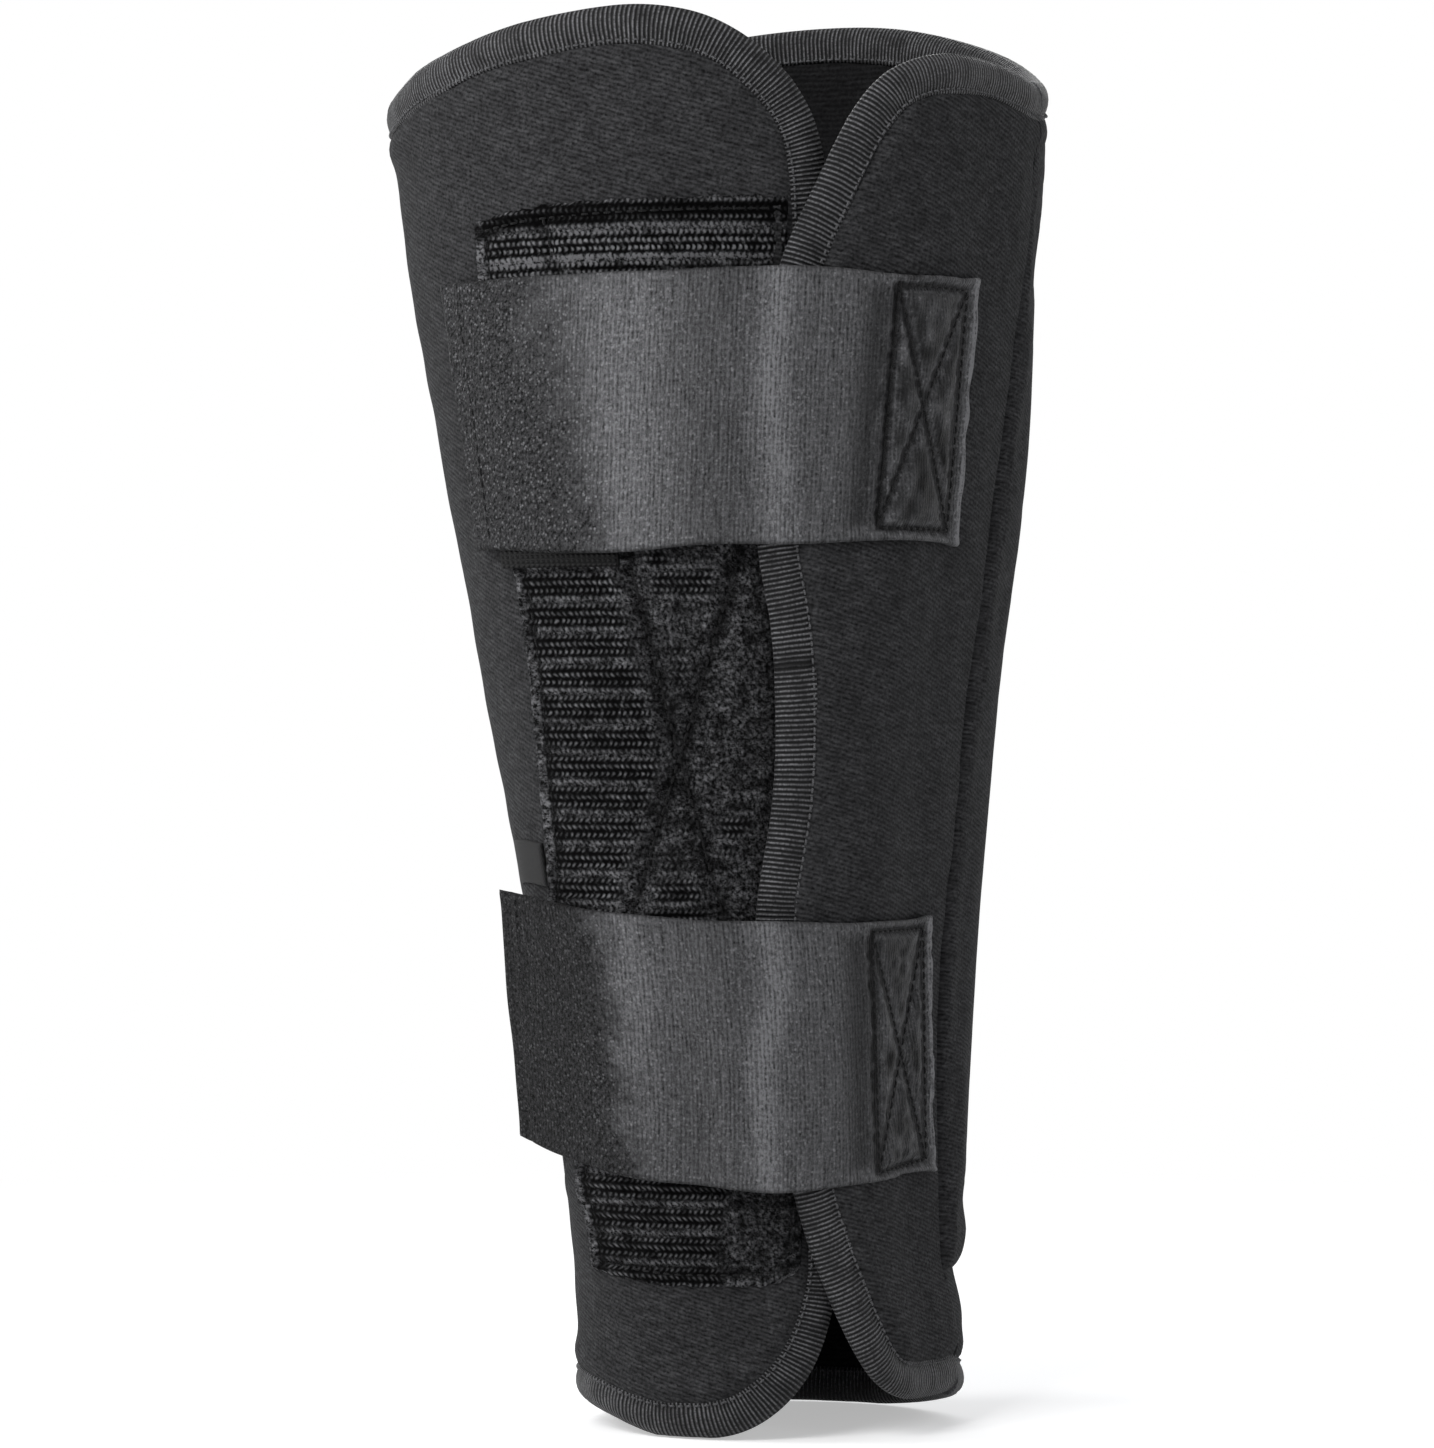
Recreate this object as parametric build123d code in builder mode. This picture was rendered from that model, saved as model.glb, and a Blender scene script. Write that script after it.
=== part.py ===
"""Wrap-around shin guard: padded neoprene sleeve closed at the calf by two hook-and-loop straps."""
from build123d import *
import math
import os

os.makedirs("parts", exist_ok=True)

# ------------------------------------------------------------------ driving dimensions (mm, degrees)
# Frame: +Z runs up the leg to the knee, +Y is the shin side, -Y is the calf side with the closure.
height = 350.0                 # nominal height of the sleeve
shin_y = 72.8                  # front face of the sleeve, the same at every height
axis_y = shin_y - 48.0         # line the closure outlines are measured from
width_terms = [48.6, -47.7, 181.5, -99.3]      # sleeve half width, in powers of z / height
depth_terms = [48.1, 52.5, -20.6]              # sleeve half depth, front to back

shell = 4.0                    # foam rubber thickness
lining = 0.75                  # inner cloth thickness
layer_gap = 0.05               # glue-line gap between layers of one piece of clothing
part_gap = 0.3                 # clearance between bodies that move against each other
binding_wall = 0.85            # edge tape thickness
binding_width = 9.5            # edge tape width on each face
loop_thickness = 1.45
hook_thickness = 1.4
strap_thickness = 1.5
thread_height = 0.45
thread_width = 0.9
label_thickness = 0.6
sunk_thread = 0.12             # how far the loop panel's thread stands out of its pile
pad_side = 2.8                 # pad thickness out at its sides
pad_rise = 7.5                 # extra thickness over the shin
pad_edge = 0.8                 # thickness right at its rim
pad_cover_wall = 1.0
pad_edge_angle = 80.0          # pad reaches this far round to each side of the shin
pad_bottom = 38.0
pad_top = 322.0
pad_round = 11.0

inner_face = -(shell + layer_gap + lining)                 # inside of the lining
overlap_lift = loop_thickness + layer_gap + part_gap + binding_wall + layer_gap - inner_face
lift_start = -5.0              # the over-wing starts to rise off the sleeve line here
lift_end = -36.0               # and is fully clear of the under-wing here
view_turn = 27.0               # closure outlines are drawn square to this direction
seam_y = axis_y + 2.0          # side seams at the floor
seam_slope = 29.0 / 350.0      # they lean towards the calf going up


# ------------------------------------------------------------------ shape of the leg
def half_width(z):
    return sum(term * (z / height) ** i for i, term in enumerate(width_terms))


def half_depth(z):
    return sum(term * (z / height) ** i for i, term in enumerate(depth_terms))


def leg_point(angle, z, out):
    """Point at an angle round the leg (90 = shin, -90 = calf), moved out along the normal."""
    a = half_width(z)
    b = half_depth(z)
    t = math.radians(angle)
    nx = b * math.cos(t)
    ny = a * math.sin(t)
    n = math.hypot(nx, ny)
    return (a * math.cos(t) + out * nx / n, shin_y - b + b * math.sin(t) + out * ny / n)


def smooth_step(x):
    x = min(max(x, 0.0), 1.0)
    return x * x * (3 - 2 * x)


def spaced(start, end, count):
    return [start + (end - start) * i / (count - 1) for i in range(count)]


def band(levels, angles, inner, outer):
    """Solid between two offset surfaces of the leg; the offsets are functions of angle and height."""
    with BuildPart() as piece:
        for z in levels:
            with BuildSketch(Plane.XY.offset(z)):
                with BuildLine():
                    inside = Spline(*[leg_point(a, z, inner(a, z)) for a in angles])
                    outside = Spline(*[leg_point(a, z, outer(a, z)) for a in angles])
                    Line(inside @ 0, outside @ 0)
                    Line(inside @ 1, outside @ 1)
                make_face()
        loft()
    return piece.part


def flat(offset):
    """An offset that is the same all round."""
    return lambda a, z: offset


# ------------------------------------------------------------------ outlines
closure_x = (math.cos(math.radians(view_turn)), math.sin(math.radians(view_turn)), 0)
closure_out = (closure_x[1], -closure_x[0], 0)
closure_plane = Plane(origin=(0, axis_y, 0), x_dir=closure_x, z_dir=closure_out)
reach = 200.0                  # outlines are pushed this far through the part


def inset_points(points, inset, side):
    """Points moved square to their own curve; side is +1 for a clockwise outline, -1 otherwise."""
    moved = []
    for i, (x, z) in enumerate(points):
        before = points[max(i - 1, 0)]
        after = points[min(i + 1, len(points) - 1)]
        dx = after[0] - before[0]
        dz = after[1] - before[1]
        n = math.hypot(dx, dz)
        moved.append((x + side * inset * dz / n, z - side * inset * dx / n))
    return moved


def outline_prism(edge, far, inset, side):
    """Prism of a wing outline: one smooth edge, closed by straight lines out at far."""
    points = inset_points(edge, inset, side)
    with BuildPart() as piece:
        with BuildSketch(closure_plane):
            with BuildLine():
                curve = Spline(*points)
                Polyline(curve @ 1, (far, points[-1][1]), (far, points[0][1]), curve @ 0)
            make_face()
        extrude(amount=reach, both=True)
    return piece.part


def panel_prism(plane, loops):
    """Prism of polygons, used for straps, patches and stitch lines."""
    with BuildPart() as piece:
        with BuildSketch(plane):
            for points in loops:
                with BuildLine():
                    Polyline(*points, close=True)
                make_face()
        extrude(amount=reach)
    return piece.part


def stitch_line(start, end):
    """Outline of one straight row of thread."""
    dx = end[0] - start[0]
    dz = end[1] - start[1]
    n = math.hypot(dx, dz)
    px = -dz / n * thread_width / 2
    pz = dx / n * thread_width / 2
    return [(start[0] + px, start[1] + pz), (end[0] + px, end[1] + pz),
            (end[0] - px, end[1] - pz), (start[0] - px, start[1] - pz)]


def half_space(side):
    """Everything on the shin side (+1) or the calf side (-1) of the leaning side seams."""
    shift = seam_y + side * part_gap / 2
    top = 400.0
    with BuildPart() as piece:
        with BuildSketch(Plane.YZ):
            with BuildLine():
                Polyline((shift, 0), (shift - seam_slope * top, top),
                         (shift + side * reach, top), (shift + side * reach, 0), close=True)
            make_face()
        extrude(amount=reach, both=True)
    return piece.part


# Edges as (across, up), drawn square to the closure direction.
under_wing_edge = [(-112, 327), (-96.5, 328.4), (-89.5, 332.8), (-80.8, 336.3), (-66.8, 340.6),
                   (-44.4, 344.2), (-32.5, 344.7), (-22.8, 343.5), (-15.1, 341.2), (-7.5, 337.2),
                   (-1.2, 332.3), (4.2, 326.6), (8.7, 319), (11.5, 310), (12.6, 299), (12.8, 270),
                   (12.6, 200), (13.6, 130), (15.2, 80), (16.6, 52), (16.4, 38), (14.0, 27),
                   (10.6, 18.4), (5.4, 11), (-1.2, 5.2), (-10, 1.0), (-20, -0.5), (-30, -0.1),
                   (-40.8, 3.2), (-50, 5.6), (-66, 6.2)]
over_wing_edge = [(100, 330), (78, 331), (66.6, 331.2), (58, 333.4), (45.8, 334.6), (36.9, 333.2),
                  (28, 329.3), (21.6, 323.2), (16.2, 314.9), (9.2, 301), (1.1, 283.2), (-3.0, 262),
                  (-4.9, 238), (-4.5, 216.3), (-1.7, 200), (-0.4, 184), (-0.4, 166), (-1.7, 152),
                  (-4.0, 139), (-5.5, 124), (-4.6, 105), (-1.4, 85), (3.6, 64), (8.0, 49),
                  (14.6, 32.7), (19.5, 23), (25.6, 14.2), (33, 9.2), (40, 8.2), (48, 8.6), (60, 9)]
front_top_edge = [(-110, 328), (-84, 333.4), (-72, 341), (-55, 347.6), (-30, 353.2), (-8, 355),
                  (15, 353.6), (40, 347.6), (58, 341), (72, 334.6), (84, 331.2), (110, 329)]
front_bottom_rise = [(110, 8.4), (60, 8.4), (48, 7.6), (34, 3.6), (12, 0.1), (-12, -0.4), (-34, 1.4),
                     (-48, 4.2), (-60, 5.6), (-110, 6)]


def under_outline(inset):
    return outline_prism(under_wing_edge, -130.0, inset, 1)


def over_outline(inset):
    return outline_prism(over_wing_edge, 130.0, inset, -1)


def front_outline(top_inset, bottom_inset):
    with BuildPart() as piece:
        with BuildSketch(Plane.XZ.offset(reach)):
            with BuildLine():
                top = Spline(*inset_points(front_top_edge, top_inset, 1))
                bottom = Spline(*inset_points(front_bottom_rise, bottom_inset, 1))
                Line(top @ 1, bottom @ 0)
                Line(bottom @ 1, top @ 0)
            make_face()
        extrude(amount=-2 * reach)
    return piece.part


# ------------------------------------------------------------------ clothing pieces of one body
levels = spaced(0.0, 364.0, 7)
shin_half = half_space(1)
calf_half = half_space(-1)
front_angles = spaced(-20.0, 200.0, 16)
under_angles = spaced(-196.0, -24.0, 16)
over_angles = spaced(15.0, -75.0, 19)


def lift(a):
    """How far the over-wing stands off the sleeve line."""
    return overlap_lift * smooth_step((a - lift_start) / (lift_end - lift_start))


def clothing(angles, rise, half, outline):
    """Shell, lining and edge binding cut to one outline; rise lifts all of them off the leg."""
    shell_band = band(levels, angles, lambda a, z: rise(a) - shell, lambda a, z: rise(a))
    lining_band = band(levels, angles, lambda a, z: rise(a) + inner_face,
                       lambda a, z: rise(a) - shell - layer_gap)
    slot_band = band(levels, angles, lambda a, z: rise(a) + inner_face - layer_gap,
                     lambda a, z: rise(a) + layer_gap)
    tape_band = band(levels, angles, lambda a, z: rise(a) + inner_face - layer_gap - binding_wall,
                     lambda a, z: rise(a) + layer_gap + binding_wall)
    trimmed = outline(binding_wall + layer_gap)
    tape = tape_band & outline(0.0) & half
    slot = slot_band & outline(binding_wall)
    return (shell_band & trimmed & half, lining_band & trimmed & half,
            tape - outline(binding_width) - slot)


def largest(shape):
    return max(shape.solids(), key=lambda s: s.volume)


def save(name, shape):
    """Write one solid under its part name."""
    solid = largest(shape)
    with BuildPart() as piece:
        add(solid)
    piece.part.label = name
    export_step(piece.part, f"parts/{name}.step")
    box = piece.part.bounding_box()
    print(f"{name:24s} {solid.volume:10.0f} {len(shape.solids())} {solid.is_valid} "
          f"x {box.min.X:7.1f} {box.max.X:7.1f} y {box.min.Y:7.1f} {box.max.Y:7.1f} "
          f"z {box.min.Z:6.1f} {box.max.Z:6.1f}")


# front half
front_full = front_outline(0.0, 0.0)
front_trim = front_outline(binding_wall + layer_gap, binding_wall + layer_gap)
front_slot = front_outline(binding_wall, binding_wall)
front_middle = front_outline(binding_width, binding_width)
front_shell = band(levels, front_angles, flat(-shell), flat(0))
front_lining = band(levels, front_angles, flat(inner_face), flat(-shell - layer_gap))
front_slot_band = band(levels, front_angles, flat(inner_face - layer_gap), flat(layer_gap))
front_tape = band(levels, front_angles, flat(inner_face - layer_gap - binding_wall),
                  flat(layer_gap + binding_wall))
save("sleeve_front", front_shell & front_trim & shin_half)
save("lining_front", front_lining & front_trim & shin_half)
front_rings = (front_tape & front_full & shin_half) - front_middle - (front_slot_band & front_slot)
rings = sorted(front_rings.solids(), key=lambda s: s.center().Z)
save("bottom_binding_front", rings[0])
save("top_binding_front", rings[-1])


# wings
left_panel, left_lining, left_binding = clothing(under_angles, lambda a: 0.0, calf_half, under_outline)
right_panel, right_lining, right_binding = clothing(over_angles, lift, calf_half, over_outline)
save("left_wing_panel", left_panel)
save("left_wing_lining", left_lining)
save("left_binding", left_binding)
save("right_wing_panel", right_panel)
save("right_wing_lining", right_lining)
save("right_binding", right_binding)

# ------------------------------------------------------------------ shin pad
def pad_solid(wall, edge_angle, inset, base):
    """Pad with rounded sides and ends, sitting on the front of the sleeve."""
    turns = [0.0, 25.0, 50.0, 90.0]
    ends = [(pad_round * (1 - math.cos(math.radians(t))), math.sin(math.radians(t))) for t in turns]
    stations = [(pad_bottom + inset + up, full) for up, full in ends]
    stations += [(z, 1.0) for z in spaced(pad_bottom + 35, pad_top - 35, 8)]
    stations += [(pad_top - inset - up, full) for up, full in reversed(ends)]
    sweep_angles = [90 + edge_angle * math.sin(math.radians(t)) for t in spaced(-90.0, 90.0, 19)]
    with BuildPart() as piece:
        for z, full in stations:
            outs = []
            for a in sweep_angles:
                u = abs(a - 90) / edge_angle
                side = (pad_side - pad_edge - wall) * math.sqrt(max(0.0, 1 - u ** 8))
                rise = pad_rise * max(0.0, 1 - u ** 2) ** 2.5
                outs.append(leg_point(a, z, base + pad_edge + full * (side + rise)))
            with BuildSketch(Plane.XY.offset(z)):
                with BuildLine():
                    inside = Spline(*[leg_point(a, z, base) for a in sweep_angles])
                    outside = Spline(*outs)
                    Line(inside @ 0, outside @ 0)
                    Line(inside @ 1, outside @ 1)
                make_face()
        loft()
    return piece.part


pad_outer = pad_solid(0.0, pad_edge_angle, 0.0, layer_gap)
pad_hollow = pad_solid(pad_cover_wall, pad_edge_angle - 1.3, pad_cover_wall, 0.0)
pad_core = pad_solid(pad_cover_wall + layer_gap, pad_edge_angle - 1.4, pad_cover_wall + layer_gap,
                     layer_gap)
save("pad_cover", pad_outer - pad_hollow)
save("pad_foam", pad_core)

# ------------------------------------------------------------------ loop panel and its stitching
loop_outline = [(-72.2, 295), (-61.4, 297.3), (-39.1, 298.8), (-17.5, 299.3), (2.6, 299.6), (2.8, 270),
                (2.6, 200), (3.6, 130), (5.2, 80), (6.6, 52), (6.0, 42.5), (2, 39.4), (-11, 38.2),
                (-25, 38.2), (-34.5, 39.2), (-44, 41), (-45, 49.2), (-48.4, 66), (-52, 100),
                (-54.7, 134), (-56.7, 163.4), (-59.9, 194), (-66, 240)]
loop_levels = spaced(30.0, 308.0, 6)
loop_band = band(loop_levels, spaced(-130.0, -30.0, 15), flat(layer_gap),
                 flat(layer_gap + loop_thickness))
save("loop_panel", loop_band & panel_prism(closure_plane, [loop_outline]))

border = 2.5                   # stitching distance from the edge of a patch
cross_centre = (-23.0, 167.0)  # where the two long rows of thread cross
with BuildPart() as loop_thread:
    with BuildSketch(closure_plane):
        with BuildLine():
            Polyline(*loop_outline, close=True)
        make_face()
        offset(amount=-border, kind=Kind.INTERSECTION)
        offset(amount=-thread_width, kind=Kind.INTERSECTION, mode=Mode.SUBTRACT)
        with BuildLine():
            Polyline(*stitch_line((-55.0, 295.5), (5.0, 63.0)), close=True)
        make_face()
        with BuildLine():
            Polyline(*stitch_line((1.2, 250.0), (-48.2, 81.0)), close=True)
        make_face()
    extrude(amount=reach)
thread_band = band(loop_levels, spaced(-130.0, -30.0, 15), flat(2 * layer_gap + loop_thickness),
                   flat(2 * layer_gap + loop_thickness + sunk_thread))
save("loop_panel_stitching", thread_band & loop_thread.part)

# side label, left blank
label_outline = [(-66.0, 136.2), (-56.8, 135.6), (-57.4, 146.0), (-66.6, 146.6)]
label_band = band(spaced(125.0, 155.0, 4), spaced(-137.0, -105.0, 9), flat(layer_gap),
                  flat(layer_gap + label_thickness))
save("side_label", label_band & panel_prism(closure_plane, [label_outline]))

# ------------------------------------------------------------------ straps
cover_out = overlap_lift + layer_gap + binding_wall            # outside of the over-wing's tape
hook_in = layer_gap + loop_thickness + part_gap                # hook patch rests just off the loop
strap_low = hook_in + hook_thickness + layer_gap               # strap over its own hook patch
strap_high = cover_out + part_gap                              # strap over the over-wing's edge


def strap_in(a, release):
    """Inner face of a strap; past the release angle it runs off straight instead of wrapping."""
    if a > -61.5:
        on_wing = lift(a) + part_gap
        return on_wing + (strap_high - overlap_lift - part_gap) * smooth_step((-31 - a) / 12)
    down = strap_high + (strap_low - strap_high) * smooth_step((-61.5 - a) / 16.5)
    if a < release:
        down += 56.0 * (1 / math.cos(math.radians(release - a)) - 1)
    return down


def strap_set(name, z_range, release, tip_angle, strap_loop, anchor_loop, hook_loop, box):
    """Free strap, sewn anchor, hook patch and the box of thread on the anchor."""
    strap_levels = spaced(z_range[0], z_range[1], 5)
    angles = spaced(-5.0, tip_angle, round((-5.0 - tip_angle) / 5) + 1)
    cloth = band(strap_levels, angles, lambda a, z: strap_in(a, release),
                 lambda a, z: strap_in(a, release) + strap_thickness)
    save(f"{name}_strap", cloth & panel_prism(closure_plane, [strap_loop]))
    save(f"{name}_strap_anchor", cloth & panel_prism(closure_plane, [anchor_loop]))
    hook = band(strap_levels, angles, lambda a, z: strap_in(a, release) - layer_gap - hook_thickness,
                lambda a, z: strap_in(a, release) - layer_gap)
    save(f"{name}_hook_patch", hook & panel_prism(closure_plane, [hook_loop]))
    thread = band(strap_levels, angles, lambda a, z: strap_in(a, release) + strap_thickness + layer_gap,
                  lambda a, z: strap_in(a, release) + strap_thickness + layer_gap + thread_height)
    rows = [stitch_line(box[i], box[(i + 1) % 4]) for i in range(4)]
    rows += [stitch_line(box[0], box[2]), stitch_line(box[1], box[3])]
    save(f"{name}_anchor_stitching", thread & panel_prism(closure_plane, rows))


hinge_gap = 0.4                # slit between a strap and its sewn anchor
upper_hinge = [(26.2, 281.8), (20.6, 218.6)]
upper_anchor_right = [(48.2, 281.4), (43.2, 219.0)]
upper_edge_top = [(-61, 281.4), (-28, 281.8), (0, 282.2)]
upper_edge_bottom = [(0, 217.6), (-28.5, 216.5), (-47, 216.2)]
upper_strap_loop = [(-80.3, 281.1)] + upper_edge_top + [
    (upper_hinge[0][0] - hinge_gap, upper_hinge[0][1]),
    (upper_hinge[1][0] - hinge_gap, upper_hinge[1][1])] + upper_edge_bottom + [(-71.8, 216.8)]
upper_anchor_loop = [upper_hinge[0], upper_anchor_right[0], upper_anchor_right[1], upper_hinge[1]]
upper_hook_loop = [(-72.0, 277.6), (-44.0, 277.8), (-37.5, 212.4), (-66.0, 212.4)]
upper_box = [(28.6, 279.0), (45.2, 278.8), (40.6, 221.8), (23.6, 221.6)]
strap_set("upper", (204.0, 292.0), -125.0, -135.0, upper_strap_loop, upper_anchor_loop,
          upper_hook_loop, upper_box)

lower_hinge = [(20.4, 127.2), (22.6, 63.4)]
lower_anchor_right = [(37.6, 127.2), (38.9, 65.0)]
lower_edge_top = [(-50.4, 131.4), (-35, 129.2), (-19.8, 128.2), (-4.5, 127.9)]
lower_edge_bottom = [(7.5, 62.2), (-4.6, 62.4), (-20, 63.4), (-36, 65.4), (-54.3, 70.6)]
lower_strap_loop = [(-66.8, 135.0)] + lower_edge_top + [
    (lower_hinge[0][0] - hinge_gap, lower_hinge[0][1]),
    (lower_hinge[1][0] - hinge_gap, lower_hinge[1][1])] + lower_edge_bottom + [(-61.6, 73.6)]
lower_anchor_loop = [lower_hinge[0], lower_anchor_right[0], lower_anchor_right[1], lower_hinge[1]]
lower_hook_loop = [(-63.4, 130.6), (-40.0, 126.6), (-35.0, 67.4), (-58.4, 75.6)]
lower_box = [(22.8, 124.8), (35.6, 124.8), (36.6, 67.4), (24.8, 65.8)]
strap_set("lower", (52.0, 146.0), -106.0, -145.0, lower_strap_loop, lower_anchor_loop,
          lower_hook_loop, lower_box)
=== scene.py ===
"""Looks of the wrap-around shin guard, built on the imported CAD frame.

Lengths are in millimetres until a mesh is made, and angles in degrees."""

import math

import bmesh
import bpy
import numpy as np
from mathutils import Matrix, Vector, kdtree


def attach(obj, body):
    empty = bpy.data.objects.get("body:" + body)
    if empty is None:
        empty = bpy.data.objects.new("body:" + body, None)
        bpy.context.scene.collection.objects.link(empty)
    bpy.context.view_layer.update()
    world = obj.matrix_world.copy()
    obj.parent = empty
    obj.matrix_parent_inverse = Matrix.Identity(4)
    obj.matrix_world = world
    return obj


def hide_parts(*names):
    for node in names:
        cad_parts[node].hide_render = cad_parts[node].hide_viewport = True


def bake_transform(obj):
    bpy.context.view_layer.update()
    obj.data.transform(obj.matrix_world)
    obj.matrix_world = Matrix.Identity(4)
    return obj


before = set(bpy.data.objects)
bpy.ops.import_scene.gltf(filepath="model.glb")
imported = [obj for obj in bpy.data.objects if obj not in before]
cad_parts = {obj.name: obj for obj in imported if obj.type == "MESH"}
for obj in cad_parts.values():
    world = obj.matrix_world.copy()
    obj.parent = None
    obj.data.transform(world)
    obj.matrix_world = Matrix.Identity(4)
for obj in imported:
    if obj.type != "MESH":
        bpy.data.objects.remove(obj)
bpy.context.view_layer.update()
MM = 0.001                      # metres in a millimetre

# ---------------------------------------------------------------- the same leg shape as the CAD
HEIGHT = 350.0
WIDTH_TERMS = (48.6, -47.7, 181.5, -99.3)       # half width, in powers of height / HEIGHT
DEPTH_TERMS = (48.1, 52.5, -20.6)               # half depth, the same way
SHIN_Y = 72.8                   # front face of the sleeve
AXIS_Y = SHIN_Y - 48.0          # line that the closure's outlines are measured from
TURN = math.radians(27.0)       # they are drawn square to this direction
CT, ST = math.cos(TURN), math.sin(TURN)
LIFT = 7.5                      # how far the over-wing lies outside the under-wing
LIFT_START, LIFT_SPAN = -5.0, 31.0              # where it starts to rise, and over how many degrees
SEAM_Y = AXIS_Y + 2.0           # side seams at the floor
SEAM_SLOPE = 29.0 / 350.0       # they lean towards the calf going up
INNER = -4.8                    # inside of the lining
SHELL_IN, LINING_OUT = -3.9, -3.95
TAPE_WIDTH, TAPE_OVER = 9.5, 0.55               # width on each face, and height over the cloth
TAPE_REACH, TAPE_FADE = 7.8, 2.2                # the cloth is pressed flat this far in, under the tape
DEGREE = math.radians(1) * 68.0                 # mm round the sleeve in a degree, on average


def smooth(x):
    x = np.clip(x, 0.0, 1.0)
    return x * x * (3 - 2 * x)


def bell(x, width):
    return np.exp(-((x / width) ** 2))


def rounded(x):
    """Quarter circle that rises from 0 to 1."""
    return np.sqrt(np.clip(1 - (1 - np.clip(x, 0, 1)) ** 2, 0, 1))


def crowded(count, power):
    """Numbers from -1 to 1, closer together near both ends."""
    x = np.linspace(-1, 1, count)
    return np.sign(x) * (1 - (1 - np.abs(x)) ** power)


def half_width(z):
    return sum(t * (z / HEIGHT) ** i for i, t in enumerate(WIDTH_TERMS))


def half_depth(z):
    return sum(t * (z / HEIGHT) ** i for i, t in enumerate(DEPTH_TERMS))


def leg(phi, z, out):
    """Points on the leg at angle phi (degrees, 90 = shin), height z, moved out along the normal."""
    phi, z, out = np.broadcast_arrays(np.asarray(phi, float), np.asarray(z, float), np.asarray(out, float))
    a, b, t = half_width(z), half_depth(z), np.radians(phi)
    nx, ny = b * np.cos(t), a * np.sin(t)
    n = np.hypot(nx, ny)
    return np.stack([a * np.cos(t) + out * nx / n, SHIN_Y - b + b * np.sin(t) + out * ny / n, z], axis=-1)


def leg_normal(phi, z):
    return leg(phi, z, 1.0) - leg(phi, z, 0.0)


def to_leg(p, front=False):
    """(phi, z) of points near the leg. phi jumps on the shin, or on the calf if front is true."""
    z = p[..., 2]
    a, b = half_width(z), half_depth(z)
    phi = np.degrees(np.arctan2((p[..., 1] - (SHIN_Y - b)) / b, p[..., 0] / a))
    phi = np.where(phi > 135, phi - 360, phi)
    return (np.where(phi < -100, phi + 360, phi) if front else phi), z


def across(phi, z, out=0.0):
    """Position across the closure view."""
    p = leg(phi, z, out)
    return p[..., 0] * CT + (p[..., 1] - AXIS_Y) * ST


def near_phi(s, z, out=0.0, low=-146.0, high=22.0):
    """Angle on the closure side where the leg lies s across."""
    s, z = np.broadcast_arrays(np.asarray(s, float), np.asarray(z, float))
    lo, hi = np.full(s.shape, low), np.full(s.shape, high)
    for _ in range(40):
        mid = (lo + hi) / 2
        under = across(mid, z, out(mid) if callable(out) else out) < s
        lo, hi = np.where(under, mid, lo), np.where(under, hi, mid)
    return (lo + hi) / 2


def lift(phi):
    return LIFT * smooth((LIFT_START - np.asarray(phi, float)) / LIFT_SPAN)


def waves(p, scale, seed, count=7):
    """Smooth repeatable noise of 3-D points, about -1 to 1."""
    rng = np.random.default_rng(seed)
    total = np.zeros(p.shape[:-1])
    for _ in range(count):
        k = rng.normal(size=3)
        k *= rng.uniform(0.6, 1.6) / np.linalg.norm(k) * 2 * math.pi / scale
        total = total + np.sin(p @ k + rng.uniform(0, 6.28))
    return total / math.sqrt(count * 1.6)


def curve_through(points, step=1.0):
    """Natural cubic spline through points, sampled about every step."""
    p = np.array(points, float)
    t = np.concatenate([[0], np.cumsum(np.sqrt(np.linalg.norm(np.diff(p, axis=0), axis=1)))])
    n, h = len(t), np.diff(t)
    m = np.zeros((n, n))
    r = np.zeros((n, p.shape[1]))
    m[0, 0] = m[-1, -1] = 1
    for i in range(1, n - 1):
        m[i, i - 1], m[i, i], m[i, i + 1] = h[i - 1], 2 * (h[i - 1] + h[i]), h[i]
        r[i] = 6 * ((p[i + 1] - p[i]) / h[i] - (p[i] - p[i - 1]) / h[i - 1])
    c = np.linalg.solve(m, r)
    out = []
    for i in range(n - 1):
        count = max(2, int(np.linalg.norm(p[i + 1] - p[i]) / step) + 1)
        x = np.linspace(0, h[i], count, endpoint=False)[:, None]
        before, after = p[i] / h[i] - c[i] * h[i] / 6, p[i + 1] / h[i] - c[i + 1] * h[i] / 6
        bend = (c[i] * (h[i] - x) ** 3 + c[i + 1] * x ** 3) / (6 * h[i])
        out.append(bend + before * (h[i] - x) + after * x)
    out.append(p[-1:])
    return np.concatenate(out)


def resample(path, step):
    """Evenly spaced points along a polyline, and their distances along it."""
    seg = np.linalg.norm(np.diff(path, axis=0), axis=1)
    along = np.concatenate([[0], np.cumsum(seg)])
    t = np.linspace(0, along[-1], max(2, int(round(along[-1] / step)) + 1))
    return np.stack([np.interp(t, along, path[:, i]) for i in range(path.shape[1])], axis=-1), t


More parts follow.
